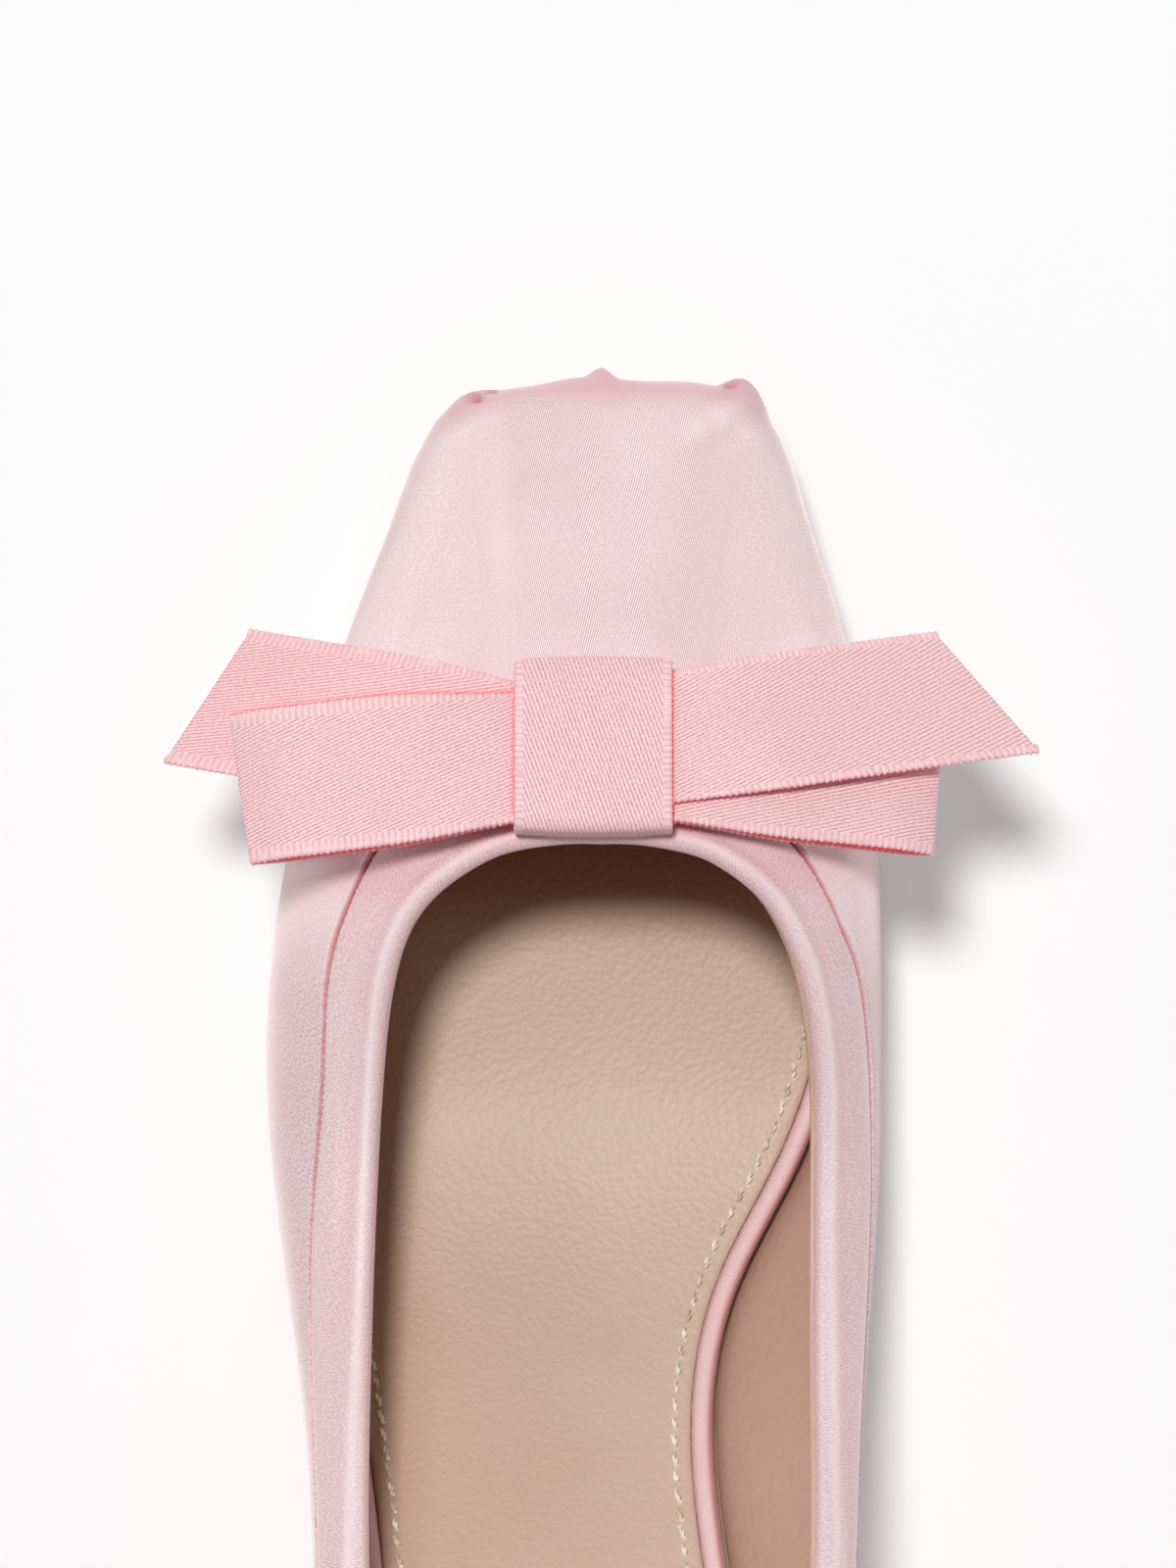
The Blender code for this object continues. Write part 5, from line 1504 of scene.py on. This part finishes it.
def motif(name, points, faces):
    obj = new_piece(name, points, faces, RIBBON)
    fix_normals(obj)
    obj.data.materials.clear()
    return obj


bead_points, bead_faces = strand(0.37, 1.3, 8, 7, power=3.0)
bead_points = [(y * 0.85, x, z) for x, y, z in bead_points]  # turned across the edge
bead = motif("bead_motif", bead_points, bead_faces)
stitch_points, stitch_faces = strand(0.33, 2.35, 6, 13, plies=2, twist=math.tau * 1.2, dip=0.45)
stitch_points = [(x, y + 0.2 * x, z) for x, y, z in stitch_points]  # each stitch slants a little
sock_stitch = motif("sock_stitch_motif", stitch_points, stitch_faces)
seam_stitch = motif("seam_stitch_motif", *strand(0.11, 0.5, 6, 7, dip=0.12))


def thread(name, dark, light, twist_scale):
    paint = Paint(name, roughness=0.55, sheen_weight=0.2)
    speckle = paint.noise(twist_scale, 2)
    paint.feed(base_color=paint.mix(speckle.ramp(0.35, 0.65), dark, light))
    paint.bump((paint.noise(3000, 1), 0.03))
    return paint.material


ECRU = thread("ecru_thread", colour(208, 184, 158), colour(252, 244, 230), 700)
PINK_THREAD = thread("pink_thread", colour(240, 206, 209), colour(252, 232, 233), 500)
BEAD_PINK = thread("selvedge_thread", colour(236, 186, 189), colour(250, 216, 217), 600)
repeat("ribbon_selvedges", selvedges, bead, RIB_PITCH, BEAD_PINK, "ribbon", 0.08, 3)

# %% Stitches along the sock, the seam and the strap
SOCK_PITCH, STITCH_INSET, STITCH_HEIGHT = 2.5, 2.2, 4.68  # the last two: in from the edge, over the bed
SEAM_INSET, SEAM_HEIGHT = 0.42, 1.93  # of the seam's: into the band, and over the last
STRAP_ROW = 0.78  # a row of stitches this share of the way from the strap's middle to its edge


def sock_stitches():
    start, end = side_place(-4.0, True), side_place(-30.0, False) + AROUND
    places = np.linspace(start, end, 500)
    plan = outline(places, sock_margin(places) - STITCH_INSET)
    line = np.column_stack([plan, bed_z(plan[:, 1]) + STITCH_HEIGHT])
    slope = np.gradient(line[:, 2], line[:, 1])
    return [(line, unit(np.column_stack([0 * slope, -slope, 1 + 0 * slope])))]


repeat("sock_stitching", sock_stitches(), sock_stitch, SOCK_PITCH, ECRU, "sock_leather", 0.06, 5)

seam_rows = read_lines((TOTAL - BAND + SEAM_INSET)[:, None] + np.array([-0.4, 0, 0.4]))
seam_up = normals_of(seam_rows)[:, 1]
seam_line = [(seam_rows[:, 1] + seam_up * SEAM_HEIGHT, seam_up)]
repeat("seam_stitching", seam_line, seam_stitch, STITCH_PITCH, PINK_THREAD, "satin", 0.3, 9)

strap_line = strap_stations(200)
strap_rows = []
for share in (-STRAP_ROW, STRAP_ROW):
    face = band_section(strap_line, [(share, STRAP_THICKNESS), (share, STRAP_THICKNESS + 1)])
    strap_rows.append((face[:, 0], face[:, 1] - face[:, 0]))
repeat("strap_stitching", strap_rows, seam_stitch, STITCH_PITCH, PINK_THREAD, "satin", 0.08, 11)
for obj in (bead, sock_stitch, seam_stitch):
    bpy.data.objects.remove(obj)

# %% [markdown]
# ## The camera and the light
#
# The shoe is seen from straight above, toe up, in soft white light that comes from above and a little from
# the toe and the outer side. The camera is far away with a long lens, so that the bow, which is nearer to it
# than the sole, doesn't look too big.

# %% Camera, floor and lights
CAMERA_HEIGHT = 1.0
CAMERA_Y = 24.1 * MM
VIEW_LENGTH = 204.3 * MM  # of the floor that the camera sees, along the foot
SENSOR = 36.0

camera_data = bpy.data.cameras.new("camera")
camera_data.sensor_width = SENSOR
camera_data.lens = SENSOR * CAMERA_HEIGHT / VIEW_LENGTH
camera_data.clip_start, camera_data.clip_end = 0.01, 20
camera = bpy.data.objects.new("camera", camera_data)
camera.location = (0, CAMERA_Y, CAMERA_HEIGHT)
COLLECTION.objects.link(camera)
bpy.context.scene.camera = camera
bpy.context.scene.view_settings.view_transform = "Standard"

WHITE = (1.0, 1.0, 1.0, 1.0)
floor_paint = Paint("floor", roughness=0.9, ior=1.3, emission_color=WHITE, emission_strength=0.15)
floor_tone = floor_paint.noise(3, 2)
floor_paint.feed(base_color=floor_paint.mix(floor_tone, colour(230, 231, 231), colour(232, 232, 232)))
FLOOR_SIZE = 8000.0
half = FLOOR_SIZE / 2
floor_corners = [(-half, -half, 0), (half, -half, 0), (half, half, 0), (-half, half, 0)]
floor = new_piece("floor", floor_corners, [(0, 1, 2, 3)], floor_paint.material)

# A light: where it stands, the way it faces, its size and its power in watts.
Light = namedtuple("Light", "name at target size power")
LIGHTS = [Light("key", (-0.62, 1.52, 5.44), (0, 0, 0), 1.0, 234)]
for row in LIGHTS:
    data = bpy.data.lights.new(row.name, "AREA")
    data.shape, data.size, data.energy = "DISK", row.size, row.power
    light = bpy.data.objects.new(row.name, data)
    light.location = row.at
    aim = np.array(row.target) - np.array(row.at)
    light.rotation_mode = "QUATERNION"
    light.rotation_quaternion = Vector(aim).to_track_quat("-Z", "Y")
    light.visible_camera = False
    COLLECTION.objects.link(light)

# The walls of a light tent are brighter than its top. The height of a direction is its share of Z.
HORIZON, ZENITH = 0.72, 0.10
world = bpy.data.worlds.new("studio")
world.use_nodes = True
nodes, links = world.node_tree.nodes, world.node_tree.links
direction, parts, fade = (nodes.new(kind) for kind in
                          ("ShaderNodeTexCoord", "ShaderNodeSeparateXYZ", "ShaderNodeMapRange"))
fade.inputs["To Min"].default_value, fade.inputs["To Max"].default_value = HORIZON, ZENITH
links.new(direction.outputs["Generated"], parts.inputs[0])
links.new(parts.outputs["Z"], fade.inputs["Value"])
links.new(fade.outputs[0], nodes["Background"].inputs["Strength"])
nodes["Background"].inputs["Color"].default_value = WHITE
bpy.context.scene.world = world
print("lens:", round(camera_data.lens), "mm")
